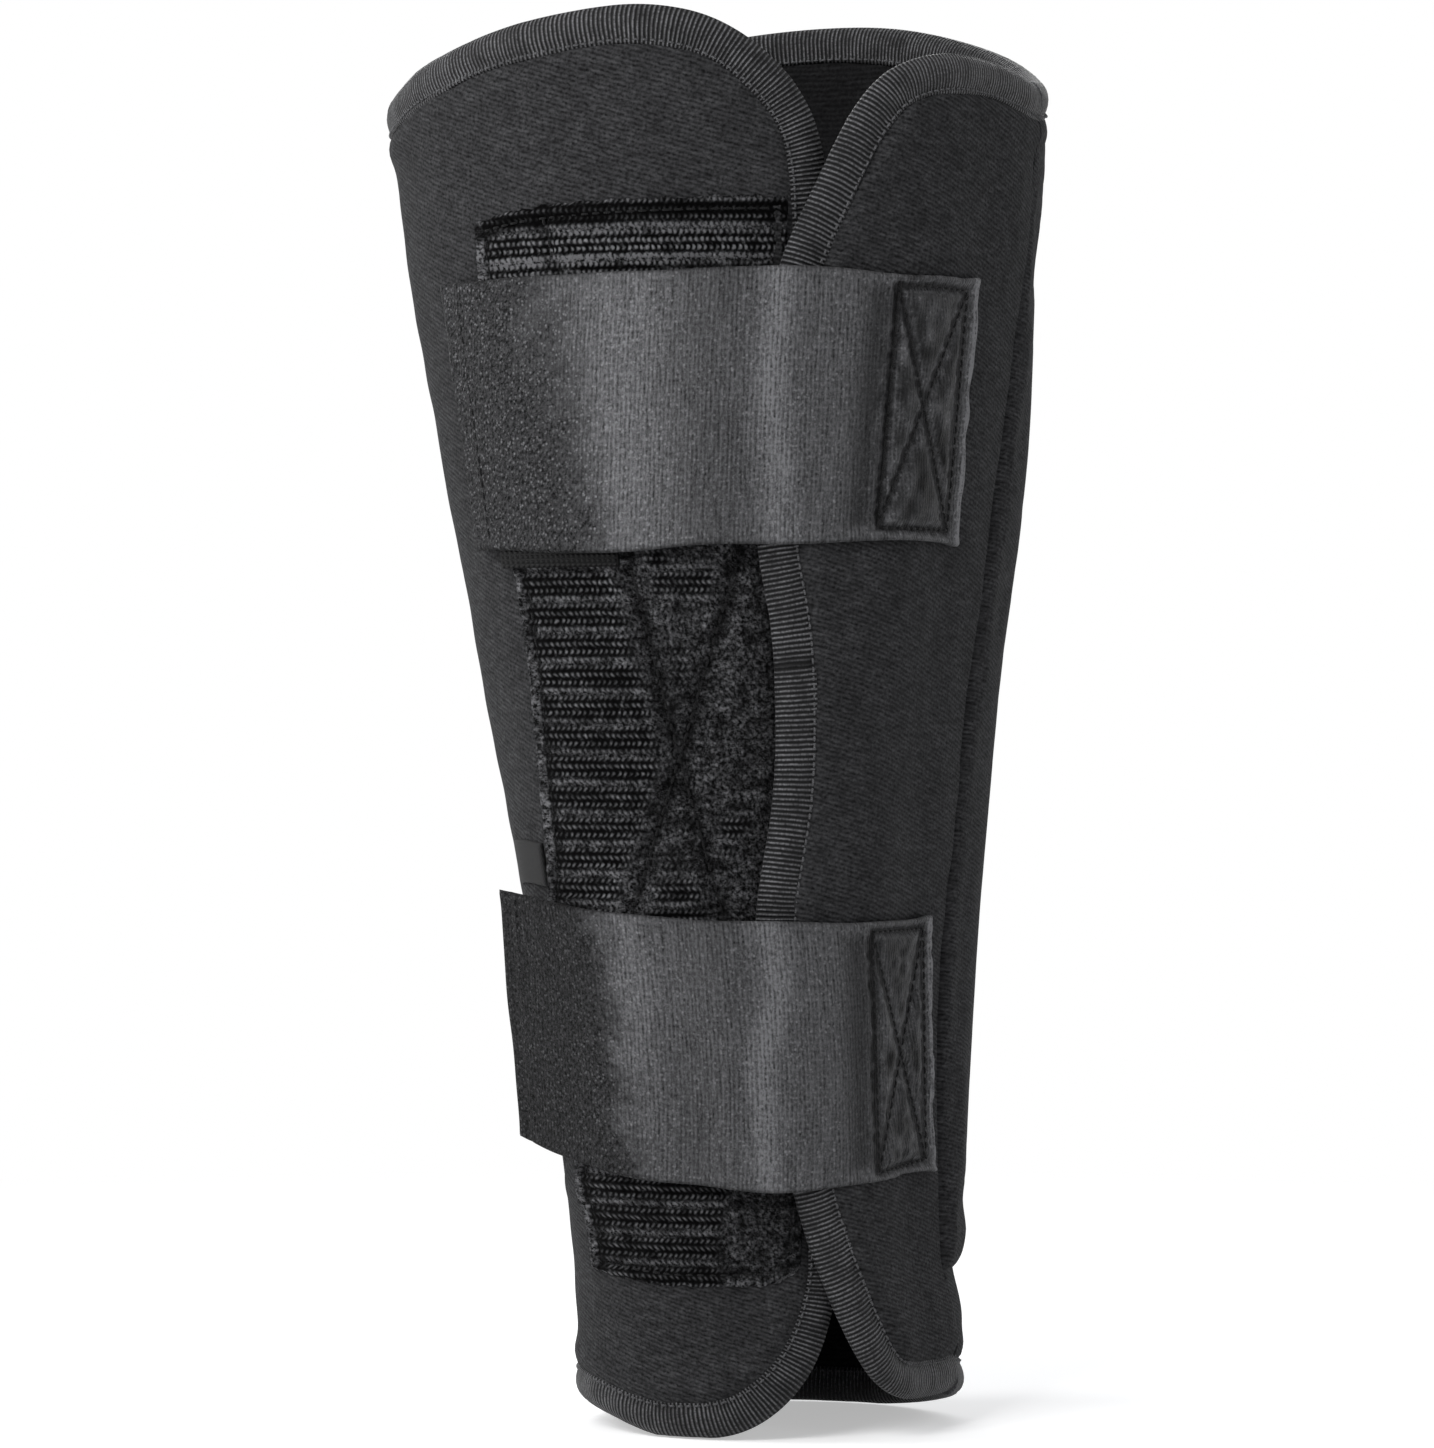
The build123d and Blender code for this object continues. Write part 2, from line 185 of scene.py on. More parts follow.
# ---------------------------------------------------------------- outlines, (across, up)
UNDER_EDGE = [(-112, 327), (-96.5, 328.4), (-89.5, 332.8), (-80.8, 336.3), (-66.8, 340.6),
              (-44.4, 344.2), (-32.5, 344.7), (-22.8, 343.5), (-15.1, 341.2), (-7.5, 337.2),
              (-1.2, 332.3), (4.2, 326.6), (8.7, 319), (11.5, 310), (12.6, 299), (12.8, 270),
              (12.6, 200), (13.6, 130), (15.2, 80), (16.6, 52), (16.4, 38), (14.0, 27),
              (10.6, 18.4), (5.4, 11), (-1.2, 5.2), (-10, 1.0), (-20, -0.5), (-30, -0.1),
              (-40.8, 3.2), (-50, 5.6), (-66, 6.2)]
OVER_EDGE = [(100, 330), (78, 331), (66.6, 331.2), (58, 333.4), (45.8, 334.6), (36.9, 333.2),
             (28, 329.3), (21.6, 323.2), (16.2, 314.9), (9.2, 301), (1.1, 283.2), (-3.0, 262),
             (-4.9, 238), (-4.5, 216.3), (-1.7, 200), (-0.4, 184), (-0.4, 166), (-1.7, 152),
             (-4.0, 139), (-5.5, 124), (-4.6, 105), (-1.4, 85), (3.6, 64), (8.0, 49),
             (14.6, 32.7), (19.5, 23), (25.6, 14.2), (33, 9.2), (40, 8.2), (48, 8.6), (60, 9)]
FRONT_TOP = [(-110, 328), (-84, 333.4), (-72, 341), (-55, 347.6), (-30, 353.2), (-8, 355),
             (15, 353.6), (40, 347.6), (58, 341), (72, 334.6), (84, 331.2), (110, 329)]
FRONT_BOTTOM = [(-110, 6), (-60, 5.6), (-48, 4.2), (-34, 1.4), (-12, -0.4), (12, 0.1),
                (34, 3.6), (48, 7.6), (60, 8.4), (110, 8.4)]
FOLD = 14.0                     # the wings' looks run on to here, under the edge of the shin pad


def rim_height(edge, top, s):
    """Height of the wing's top or bottom rim at s across."""
    c = curve_through(edge)
    half = np.argmin(np.abs(c[:, 1] - 170))
    part = c[:half] if top else c[half:]
    part = part[np.abs(np.gradient(part[:, 0])) > 1e-4]
    order = np.argsort(part[:, 0])
    return np.interp(s, part[order, 0], part[order, 1])


def wing_path(edge, seam_phi, s_join_top, s_join_bottom, out_of):
    """Edge of a wing as (phi, z): from the seam along the top, down, and back along the bottom."""
    c = curve_through(edge, 0.8)
    sign = 1 if seam_phi < -90 else -1
    half = np.argmin(np.abs(c[:, 1] - 170))
    i0 = np.argmin(np.abs(c[:half, 0] - s_join_top) + (c[:half, 1] < 200) * 1e3)
    i1 = half + np.argmin(np.abs(c[half:, 0] - s_join_bottom) + (c[half:, 1] > 60) * 1e3)
    mid = c[i0:i1 + 1]
    phi = near_phi(mid[:, 0], mid[:, 1], out_of)
    rims = []
    for top, stop in ((True, phi[0]), (False, phi[-1])):
        run = np.arange(seam_phi, stop, sign * 0.5)
        z = np.full(run.shape, 332.0 if top else 5.0)
        for _ in range(8):
            z = rim_height(edge, top, across(run, z, out_of(run)))
        rims.append(np.stack([run, z], axis=-1))
    return np.concatenate([rims[0], np.stack([phi, mid[:, 1]], axis=-1), rims[1][::-1]])


def none(phi):
    return np.zeros(np.shape(phi))


UNDER_SEAM, OVER_SEAM = -180.0 - FOLD, FOLD
FRONT_SPAN = (FOLD - 1.5, 181.5 - FOLD)
under_path = wing_path(UNDER_EDGE, UNDER_SEAM, -20.0, -20.0, none)
over_path = wing_path(OVER_EDGE, OVER_SEAM, 42.0, 36.0, lift)
top_c, bottom_c = curve_through(FRONT_TOP), curve_through(FRONT_BOTTOM)


def front_rim(curve):
    phi = np.linspace(*FRONT_SPAN, 400)
    z = np.full(phi.shape, curve[:, 1].mean())
    for _ in range(8):
        z = np.interp(leg(phi, z, 0)[:, 0], curve[:, 0], curve[:, 1])
    return np.stack([phi, z], axis=-1)


front_top_path, front_bottom_path = front_rim(top_c), front_rim(bottom_c)


def path_points(path, rise):
    """3-D points of a rim path, evenly spaced, on the mid face of the cloth."""
    p = leg(path[:, 0], path[:, 1], rise(path[:, 0]) + INNER / 2)
    return resample(p, 0.6)[0]


def depth_inside(paths, rise, phi, z):
    """Distance in from the nearest rim; the sign is left to inside()."""
    pts = np.concatenate([path_points(path, rise) for path in paths])
    tree = kdtree.KDTree(len(pts))
    for i, p in enumerate(pts):
        tree.insert(p, i)
    tree.balance()
    q = leg(phi, z, rise(phi) + INNER / 2)
    return np.array([tree.find(p)[2] for p in q.reshape(-1, 3)]).reshape(phi.shape)


def inside(path, phi, z):
    """Which points lie within a closed (phi, z) outline."""
    hit = np.zeros(phi.shape, bool)
    x1, y1 = path[-1]
    for x0, y0 in path:
        if y0 != y1:
            crosses = ((y0 > z) != (y1 > z)) & (phi < (x1 - x0) * (z - y0) / (y1 - y0) + x0)
            hit ^= crosses
        x1, y1 = x0, y0
    return hit


# ---------------------------------------------------------------- mesh helpers
def make(name, verts, faces, uv, material, tone=None):
    """Mesh object from points in mm. tone is an optional shade per vertex, read by the cloth."""
    mesh = bpy.data.meshes.new(name)
    mesh.from_pydata((np.asarray(verts) * MM).tolist(), [], [tuple(int(i) for i in f) for f in faces])
    layer = mesh.uv_layers.new(name="UVMap")
    loops = np.zeros(len(mesh.loops), np.int32)
    mesh.loops.foreach_get("vertex_index", loops)
    layer.data.foreach_set("uv", (np.asarray(uv) / 100.0)[loops].ravel())
    mesh.polygons.foreach_set("use_smooth", [True] * len(mesh.polygons))
    mesh.materials.append(material)
    mesh.update()
    obj = bpy.data.objects.new(name, mesh)
    if tone is not None:
        paint(obj, "tone", tone)
    bpy.context.scene.collection.objects.link(obj)
    return obj


def paint(obj, name, values):
    """Adds a shade per vertex, which the cloth reads by its name."""
    layer = obj.data.attributes.new(name, "FLOAT", "POINT")
    layer.data.foreach_set("value", np.asarray(values, np.float32).ravel())


def grid_quads(nu, nv, keep=None):
    i, j = np.meshgrid(np.arange(nu - 1), np.arange(nv - 1), indexing="ij")
    a = i * nv + j
    q = np.stack([a, a + nv, a + nv + 1, a + 1], axis=-1)
    if keep is not None:
        q = q[keep[:-1, :-1] & keep[1:, :-1] & keep[1:, 1:] & keep[:-1, 1:]]
    return q.reshape(-1, 4)


def paint_slab(obj, **shades):
    """Shades for both faces of a slab, given on its grid."""
    for name, values in shades.items():
        paint(obj, name, np.concatenate([np.ravel(values), np.ravel(values)]))


def slab(outer, inner, quads, uv):
    """Closed mesh between two grids that share their quads."""
    used = np.unique(quads)
    remap = np.full(len(outer), -1)
    remap[used] = np.arange(len(used))
    q = remap[quads]
    n = len(used)
    verts = np.concatenate([outer[used], inner[used]])
    edges = np.concatenate([q[:, [0, 1]], q[:, [1, 2]], q[:, [2, 3]], q[:, [3, 0]]])
    key = edges.min(axis=1) * n + edges.max(axis=1)
    _, first, counts = np.unique(key, return_index=True, return_counts=True)
    rim = edges[first[counts == 1]]
    walls = np.stack([rim[:, 1], rim[:, 0], rim[:, 0] + n, rim[:, 1] + n], axis=-1)
    return verts, np.concatenate([q, q[:, ::-1] + n, walls]), np.concatenate([uv[used], uv[used]])


def grid_slab(name, outer, inner, uv, material):
    """A slab between two whole grids of points."""
    outer_points, inner_points, uv = (grid.reshape(-1, grid.shape[-1]) for grid in (outer, inner, uv))
    verts, faces, uv = slab(outer_points, inner_points, grid_quads(*outer.shape[:2]), uv)
    return fix_normals(make(name, verts, faces, uv, material))


def facing(phi, z):
    """Distances round the leg and up it, in mm, for the weave of the cloth."""
    return np.stack([np.radians(phi) * (0.55 * half_width(z) + 0.45 * half_depth(z)), z], axis=-1)


def shell_piece(name, phis, zs, paths, rise, outer_of, inner_of, material, edge_in=2.0):
    """Cloth layer over a (phi, z) grid, cut to its outline a little inside the rim."""
    phi, z = np.meshgrid(phis, zs, indexing="ij")
    depth = depth_inside(paths, rise, phi, z)
    closed = np.concatenate(paths)
    if len(paths) == 1:
        far = closed[0, 0] + (3 if closed[0, 0] > -90 else -3)
        closed = np.concatenate([closed, [[far, closed[-1, 1]], [far, closed[0, 1]]]])
    keep = inside(closed, phi, z) & (depth > edge_in)
    base = rise(phi)
    o = leg(phi, z, base + outer_of(phi, z, depth)).reshape(-1, 3)
    i = leg(phi, z, base + inner_of(phi, z, depth)).reshape(-1, 3)
    quads = grid_quads(len(phis), len(zs), keep)
    v, f, uv = slab(o, i, quads, facing(phi, z).reshape(-1, 2))
    return fix_normals(make(name, v, f, uv, material))


def tape_piece(name, path, rise, side, seed, lap):
    """Edge tape folded round a rim: a closed profile swept along it. Its ends may lap, at a height."""
    pts, t = resample(path_points(path, rise), 0.8)
    front = path[0, 0] > -90
    phi, z = to_leg(pts, front)
    nrm = leg_normal(phi, z)
    tan = np.gradient(pts, axis=0)
    for _ in range(2):
        tan[1:-1] = (tan[:-2] + 2 * tan[1:-1] + tan[2:]) / 4
    tan /= np.linalg.norm(tan, axis=1)[:, None]
    into = side * np.cross(tan, nrm)
    into /= np.linalg.norm(into, axis=1)[:, None]
    top, low, mid_d = TAPE_OVER, INNER - TAPE_OVER, INNER / 2
    w = TAPE_WIDTH
    loop = [(w, top - 0.55), (w - 0.25, top - 0.18), (w - 0.8, top - 0.05), (w - 1.5, top - 0.28),
            (w - 2.3, top + 0.05), (w - 3.6, top + 0.34), (w - 5.0, top + 0.38), (w - 6.4, top + 0.12),
            (w - 7.6, top - 0.4), (1.05, top - 1.05), (0.5, top - 1.75), (0.12, mid_d + 0.9), (0.0, mid_d),
            (0.12, mid_d - 0.9), (0.5, low + 1.6), (1.05, low + 0.9), (w - 7.4, low + 0.3),
            (w - 6.2, low - 0.1), (w - 4.5, low - 0.22), (w - 2.6, low - 0.1), (w - 1.7, low + 0.15),
            (w - 0.9, low - 0.05), (w, low + 0.4), (w - 0.4, low + 0.95), (w - 5.0, low + 0.85),
            (2.1, low + 1.5), (1.2, mid_d), (2.1, top - 1.6), (w - 5.0, top - 0.7), (w - 0.4, top - 0.95)]
    lump = 0.16 * waves(pts, 14.0, seed) + 0.08 * waves(pts, 4.5, seed + 1)
    sway = 0.35 * waves(pts, 34.0, seed + 2)
    tone = np.ones(len(t))
    if lap is not None:
        past = t - t[np.argmin(np.abs(pts[:, 2] - lap))]
        lump = lump + 0.3 * smooth(past / 0.8) * smooth((12.0 - past) / 5.0)
        # painted shade in the step where one end of the tape laps over the other
        tone -= 0.9 * bell(past + 0.8, 1.3)
    rows, uvs = [], []
    run = 0.0
    last = loop[0]
    for q, d in loop:
        run += math.hypot(q - last[0], d - last[1])
        last = (q, d)
        face = 1.0 if d > mid_d else -1.0
        p = pts + into * np.asarray(q + sway * smooth(q / 6.0))[:, None] if q > 0 else pts.copy()
        fp, fz = to_leg(p, front)
        share = smooth(np.array(q / 3.0))
        rows.append(leg(fp, fz, rise(fp) + d + face * lump * (0.5 + 0.5 * share)))
        uvs.append(np.stack([t, np.full(t.shape, run)], axis=-1))
    n, m = len(t), len(loop)
    verts = np.stack(rows, axis=1).reshape(-1, 3)
    verts[:, 2] = np.maximum(verts[:, 2], 0.0)
    uv = np.stack(uvs, axis=1).reshape(-1, 2)
    faces = []
    for i in range(n - 1):
        for j in range(m):
            k = (j + 1) % m
            faces.append((i * m + j, (i + 1) * m + j, (i + 1) * m + k, i * m + k))
    faces.append(tuple(range(m)))
    faces.append(tuple((n - 1) * m + j for j in reversed(range(m))))
    obj = fix_normals(make(name, verts, faces, uv, M_TAPE, tone=np.repeat(tone, m)))
    rim = {"pts": pts, "into": into, "rise": rise, "front": front}
    return obj, rim


def fix_normals(obj):
    """Turns every face outward."""
    bm = bmesh.new()
    bm.from_mesh(obj.data)
    bmesh.ops.recalc_face_normals(bm, faces=bm.faces)
    bm.to_mesh(obj.data)
    bm.free()
    return obj


def stitches(name, centre, tangent, normal, length, radius, material):
    """Short raised threads, one per centre point."""
    t = tangent / np.linalg.norm(tangent, axis=1)[:, None]
    nrm = normal - t * np.sum(normal * t, axis=1)[:, None]
    nrm /= np.linalg.norm(nrm, axis=1)[:, None]
    side = np.cross(t, nrm)
    xs = np.array([-1.0, -0.72, 0.0, 0.72, 1.0])
    rs = np.array([0.25, 0.85, 1.0, 0.85, 0.25])
    arch = np.array([-0.9, -0.1, 0.35, -0.1, -0.9])
    k = 6
    ang = np.arange(k) * 2 * math.pi / k
    ring = (centre[:, None, None, :]
            + t[:, None, None, :] * (xs * length / 2)[None, :, None, None]
            + nrm[:, None, None, :] * (arch * radius)[None, :, None, None]
            + radius * rs[None, :, None, None]
            * (nrm[:, None, None, :] * np.cos(ang)[None, None, :, None]
               + side[:, None, None, :] * np.sin(ang)[None, None, :, None]))
    n, m = len(centre), len(xs)
    verts = ring.reshape(-1, 3)
    faces = []
    for s in range(n):
        b = s * m * k
        for i in range(m - 1):
            for j in range(k):
                j2 = (j + 1) % k
                faces.append((b + i * k + j, b + i * k + j2, b + (i + 1) * k + j2, b + (i + 1) * k + j))
        faces.append(tuple(b + j for j in reversed(range(k))))
        faces.append(tuple(b + (m - 1) * k + j for j in range(k)))
    uv = np.zeros((len(verts), 2))
    uv[:, 0] = np.tile(np.repeat(xs * length / 2, k), n) + np.repeat(np.arange(n) * 4.0, m * k)
    uv[:, 1] = np.tile(np.tile(ang, m), n)
    return make(name, verts, faces, uv, material)


def rim_stitches(name, rim, inset, out, pitch):
    """Rows of stitches along a tape, inset from the rim, on its outer and its inner face."""
    pts, _ = resample(rim["pts"] + rim["into"] * inset, pitch)
    phi, z = to_leg(pts, rim["front"])
    c, tt, nn = [], [], []
    for face in (1, -1):
        d = out if face > 0 else INNER - out
        p = leg(phi, z, rim["rise"](phi) + d)
        keep = p[:, 2] > 0.6
        c.append(p[keep])
        tt.append(np.gradient(p, axis=0)[keep])
        nn.append(face * leg_normal(phi, z)[keep])
    c, tt, nn = (np.concatenate(part) for part in (c, tt, nn))
    return stitches(name, c, tt, nn, pitch * 0.72, 0.3, M_EDGE_THREAD)


def line_stitches(name, lines, surface, pitch, length, radius):
    """Rows of stitches along (across, up) lines on a surface."""
    c, t, n = [], [], []
    for line in lines:
        pts, _ = resample(np.array(line, float), 0.5)
        p, nrm = surface(pts[:, 0], pts[:, 1])
        seg = np.concatenate([[0], np.cumsum(np.linalg.norm(np.diff(p, axis=0), axis=1))])
        at = np.arange(pitch * 0.5, seg[-1], pitch)

        def at_distance(x, values):
            return np.stack([np.interp(x, seg, values[:, i]) for i in range(3)], axis=-1)

        c.append(at_distance(at, p))
        t.append(at_distance(at + 0.4, p) - at_distance(at - 0.4, p))
        n.append(at_distance(at, nrm))
    c, t, n = (np.concatenate(part) for part in (c, t, n))
    return stitches(name, c, t, n, length, radius, M_THREAD)


def segment_distance(x, y, lines):
    """Distance of (x, y) points from the nearest of several polylines."""
    best = np.full(np.shape(x), 1e9)
    for line in lines:
        for (x0, y0), (x1, y1) in zip(line[:-1], line[1:]):
            dx, dy = x1 - x0, y1 - y0
            f = np.clip(((x - x0) * dx + (y - y0) * dy) / (dx * dx + dy * dy), 0, 1)
            best = np.minimum(best, np.hypot(x - x0 - f * dx, y - y0 - f * dy))
    return best


# ---------------------------------------------------------------- materials
def add_node(tree, kind, **values):
    """A new node, with the given values on its sockets."""
    node = tree.nodes.new("ShaderNode" + kind)
    for name, value in values.items():
        node.inputs[name.replace("_", " ")].default_value = value
    return node


class Number:
    """A number in a material's node tree, which can be added, multiplied and raised to a power."""

    def __init__(self, tree, socket):
        self.tree, self.socket = tree, socket

    def math(self, operation, other=None):
        node = add_node(self.tree, "Math")
        node.operation = operation
        self.tree.links.new(self.socket, node.inputs[0])
        if isinstance(other, Number):
            self.tree.links.new(other.socket, node.inputs[1])
        elif other is not None:
            node.inputs[1].default_value = other
        return Number(self.tree, node.outputs[0])

    def __add__(self, other):
        return self.math("ADD", other)

    def __mul__(self, other):
        return self.math("MULTIPLY", other)

    def __pow__(self, other):
        return self.math("POWER", other)

    def ramp(self, low, high, start=0.0, end=1.0):
        """From low to high as this goes from start to end, and no further."""
        node = add_node(self.tree, "MapRange", From_Min=start, From_Max=end, To_Min=low, To_Max=high)
        self.tree.links.new(self.socket, node.inputs["Value"])
        return Number(self.tree, node.outputs["Result"])


class Cloth:
    """A procedural cloth. Sizes are in mm, and a UV unit is 100 mm."""

    def __init__(self, name, rough, sheen, specular):
        self.mat = bpy.data.materials.new(name)
        self.mat.use_nodes = True
        self.tree = self.mat.node_tree
        self.tree.nodes.clear()
        self.bsdf = self.node("BsdfPrincipled", Roughness=rough, Sheen_Weight=sheen, Sheen_Roughness=0.4,
                              Specular_IOR_Level=specular)
        self.link(self.bsdf.outputs["BSDF"], self.node("OutputMaterial").inputs["Surface"])
        uv = self.node("UVMap")
        uv.uv_map = "UVMap"
        self.uv = uv.outputs["UV"]
        split = self.node("SeparateXYZ")
        self.link(self.uv, split.inputs[0])
        self.u, self.v = (Number(self.tree, split.outputs[axis]) for axis in "XY")

    def node(self, kind, **values):
        return add_node(self.tree, kind, **values)

    def link(self, a, b):
        self.tree.links.new(a, b)

    def tone(self, name="tone"):
        """A shade painted on the piece."""
        node = self.node("Attribute")
        node.attribute_name = name
        return Number(self.tree, node.outputs["Fac"])

    def dots(self, size, far):
        """Small bright points, one per cell, that fade out at far."""
        node = self.node("TexVoronoi", Scale=100.0 / size, Randomness=1.0)
        self.link(self.uv, node.inputs["Vector"])
        return Number(self.tree, node.outputs["Distance"]).ramp(1.0, 0.0, 0.08, far)

    def stripes(self, coordinate, pitch, phase=None):
        """0 to 1 wave along a UV coordinate."""
        x = coordinate * (2 * math.pi * 100.0 / pitch)
        if phase is not None:
            x = x + phase
        return x.math("SINE") * 0.5 + 0.5

    def noise(self, size, detail=3.0, rough=0.55, stretch=(1.0, 1.0)):
        turned = self.node("Mapping", Scale=(*stretch, 1.0))
        self.link(self.uv, turned.inputs["Vector"])
        node = self.node("TexNoise", Scale=100.0 / size, Detail=detail, Roughness=rough)
        self.link(turned.outputs[0], node.inputs["Vector"])
        return Number(self.tree, node.outputs["Fac"])

    def colour(self, shade, dark, light):
        """A cool grey between dark and light."""
        node = self.node("Mix")
        node.data_type = "RGBA"
        self.link(shade.socket, node.inputs["Factor"])
        node.inputs["A"].default_value = (dark, dark, dark * 1.04, 1.0)
        node.inputs["B"].default_value = (light, light, light * 1.04, 1.0)
        self.link(node.outputs["Result"], self.bsdf.inputs["Base Color"])

    def bump(self, height, depth):
        node = self.node("Bump", Strength=1.0, Distance=depth * MM)
        self.link(height.socket, node.inputs["Height"])
        self.link(node.outputs["Normal"], self.bsdf.inputs["Normal"])


def knit_cloth(name, dark, light, pitch=1.1, tilt=0.3, depth=0.14):
    """Jersey face of the foam rubber: fine slanting ribs broken up into loops."""
    c = Cloth(name, rough=0.9, sheen=0.04, specular=0.03)
    rows = c.stripes(c.u * tilt + c.v, pitch, c.noise(3.5, 2.0) * 5.0)
    grain = c.noise(0.95, 3.0, 0.7).ramp(0.0, 1.0, 0.34, 0.66)
    pile = c.noise(2.4, 2.0, 0.5, stretch=(0.6, 1.4)).ramp(0.6, 1.3, 0.3, 0.7)
    mottle = c.noise(11.0, 4.0, 0.6).ramp(0.8, 1.2, 0.3, 0.7)
    c.colour((grain * 0.62 + rows * 0.3) * pile * mottle, dark, light)
    c.bump(grain * 0.8 + rows, depth)
    return c.mat


def rib_tape(name, dark, light):
    """Grosgrain: rounded cords across the tape."""
    c = Cloth(name, rough=0.55, sheen=0.02, specular=0.1)
    ribs = c.stripes(c.u, 1.18, c.noise(4.0, 2.0) * 1.6)
    grain = c.noise(0.8, 3.0, 0.7, stretch=(0.7, 1.4)).ramp(0.25, 1.25, 0.34, 0.66)
    patchy = c.noise(6.0, 4.0, 0.65).ramp(0.4, 1.4, 0.32, 0.68)
    c.colour(ribs ** 2.0 * grain * patchy * c.tone(), dark, light)
    c.bump(grain * 0.2 + ribs, 0.4)
    return c.mat


def elastic(name, dark, light, hook_shade):
    """Knitted elastic with fine lines across it, darker and flecked where the hook tape is sewn."""
    c = Cloth(name, rough=0.5, sheen=0.03, specular=0.06)
    wales = c.stripes(c.u, 1.06, c.noise(5.0, 3.0) * 4.0)
    courses = c.stripes(c.v, 1.3, c.noise(1.6, 2.0) * 8.0)
    grain = c.noise(1.05, 3.0, 0.8, stretch=(1.3, 0.8)).ramp(0.0, 1.0, 0.38, 0.64)
    strands = c.noise(1.5, 4.0, 0.7, stretch=(1.6, 0.14)).ramp(0.0, 1.0, 0.36, 0.64)
    # painted sheen: broad bands lighter and darker along the elastic
    painted_sheen_bands = c.noise(19.0, 3.0, stretch=(1.0, 0.35)).ramp(0.85, 1.15, 0.32, 0.68)
    sparkle = c.dots(0.95, 0.46) * c.noise(1.3, 2.0, 0.6).ramp(0.0, 1.0, 0.42, 0.6)
    knit = (grain * 0.46 + courses * 0.08 + wales * 0.2 + strands * 0.32) * painted_sheen_bands * 0.74 + sparkle * 0.55
    twill = c.stripes(c.v * 0.8 + c.u, 1.6, c.noise(1.4, 3.0, 0.7) * 12.0)
    fleck = c.noise(1.2, 3.0, 0.8).ramp(0.0, 1.0, 0.42, 0.66)
    hooked = (sparkle * 1.3 + (twill * 0.3 + fleck) * 0.46) * hook_shade
    ragged = c.tone("hooked") + c.noise(2.6, 4.0, 0.75).ramp(-0.3, 0.3, 0.3, 0.7)
    ragged = ragged.ramp(0.0, 1.0, 0.1, 0.9)
    c.colour((knit * ragged.ramp(1.0, 0.0) + hooked * ragged) * c.tone(), dark, light)
    c.link(ragged.ramp(0.5, 0.8).socket, c.bsdf.inputs["Roughness"])
    c.bump(grain * 0.8 + wales * 0.5 + fleck * ragged * 1.2, 0.22)
    return c.mat


def fleece(name, dark, light):
    """Loop fabric: ordered rows of loops that grow wild where it is worn."""
    c = Cloth(name, rough=0.8, sheen=0.0, specular=0.03)
    order = c.tone("order")
    shake = c.noise(3.0, 3.0, 0.6)
    zigzag = c.stripes(c.v, 3.65) * 0.009 + c.u
    loops = c.stripes(zigzag, 1.5, shake * 5.0) ** 1.6
    rows = c.stripes(c.v, 1.83, shake * 2.5) ** 1.4
    strong = c.stripes(c.v, 7.3, c.noise(30.0, 2.0) * 3.0) ** 5.0
    thin = c.stripes(c.v, 3.65, shake * 0.8) ** 6.0
    wild = c.dots(1.25, 0.5)
    fuzz = c.noise(1.0, 4.0, 0.8).ramp(0.0, 1.0, 0.42, 0.64)
    clumps = c.noise(3.4, 3.0, 0.65).ramp(0.3, 1.5, 0.34, 0.68)
    broad = c.noise(24.0, 2.0).ramp(0.75, 1.25, 0.32, 0.68)
    neat = strong * fuzz * 0.6 + rows * loops * 0.52 + fuzz * wild * 0.25 + thin * 0.05
    loose = wild * 0.3 + fuzz * 0.5
    shade = (neat * order + loose * order.ramp(1.0, 0.0)) * clumps * broad
    c.colour(shade ** 1.2 * 1.3 * c.tone(), dark, light)
    c.bump(fuzz + neat * 1.2 + clumps * 0.7, 0.5)
    return c.mat


def hooks(name, dark, light):
    c = Cloth(name, rough=0.5, sheen=0.0, specular=0.1)
    dots = c.stripes(c.u, 1.4) * c.stripes(c.v, 1.1)
    c.colour(c.noise(0.7, 2.0) * 0.4 + dots * 0.7, dark, light)
    c.bump(dots, 0.5)
    return c.mat


def thread_cloth(name, dark, light):
    c = Cloth(name, rough=0.55, sheen=0.02, specular=0.1)
    twist = c.stripes(c.v * 0.25 + c.u, 0.5)
    c.colour(c.noise(0.6) * 0.3 + twist * 0.7, dark, light)
    c.bump(twist, 0.1)
    return c.mat


M_SHELL = knit_cloth("black_knit", 0.004, 0.056)
M_PAD = knit_cloth("black_knit_pad", 0.004, 0.054)
M_LINING = knit_cloth("lining_cloth", 0.003, 0.016, pitch=1.3, tilt=0.0, depth=0.08)
M_TAPE = rib_tape("edge_tape", 0.004, 0.142)
M_UPPER = elastic("strap_elastic_upper", 0.002, 0.18, 0.62)
M_LOWER = elastic("strap_elastic_lower", 0.002, 0.178, 0.32)
M_LOOP = fleece("loop_fleece", 0.0008, 0.225)
# the hook tape's own black, darkened further as painted shade, since it shows only in the strap's shadow
M_HOOK = hooks("hook_tape", 0.001, 0.006)
M_THREAD = thread_cloth("thread", 0.003, 0.022)
M_EDGE_THREAD = thread_cloth("edge_thread", 0.03, 0.16)
M_LABEL = thread_cloth("label_weave", 0.004, 0.012)


# ---------------------------------------------------------------- sleeve shells, linings and tapes
def presses(phi, z):
    """How the straps press the cloth under them: negative below a strap, a little proud beside it."""
    s = across(phi, z)
    out = np.zeros(s.shape)
    for low, high, left, right in ((217.0, 282.0, -76.0, 48.0), (64.0, 129.0, -58.0, 38.0)):
        over = smooth((s - left) / 6.0) * smooth((right - s) / 6.0) * (np.abs(phi + 65) < 75)
        mid, half = (low + high) / 2, (high - low) / 2
        d = np.abs(z - mid) - half
        out += over * (-0.55 * smooth(-d / 3.0) + 0.5 * bell(d - 3.5, 4.0))
    return out


def cuff(phi, z):
    """The ankle cuff puffs out between the pad and the tape."""
    round_side = smooth((phi + 40.0) / 25.0) * smooth((220.0 - phi) / 25.0)
    return 1.9 * bell(z - 27.0, 8.5) * round_side * (phi > -60)


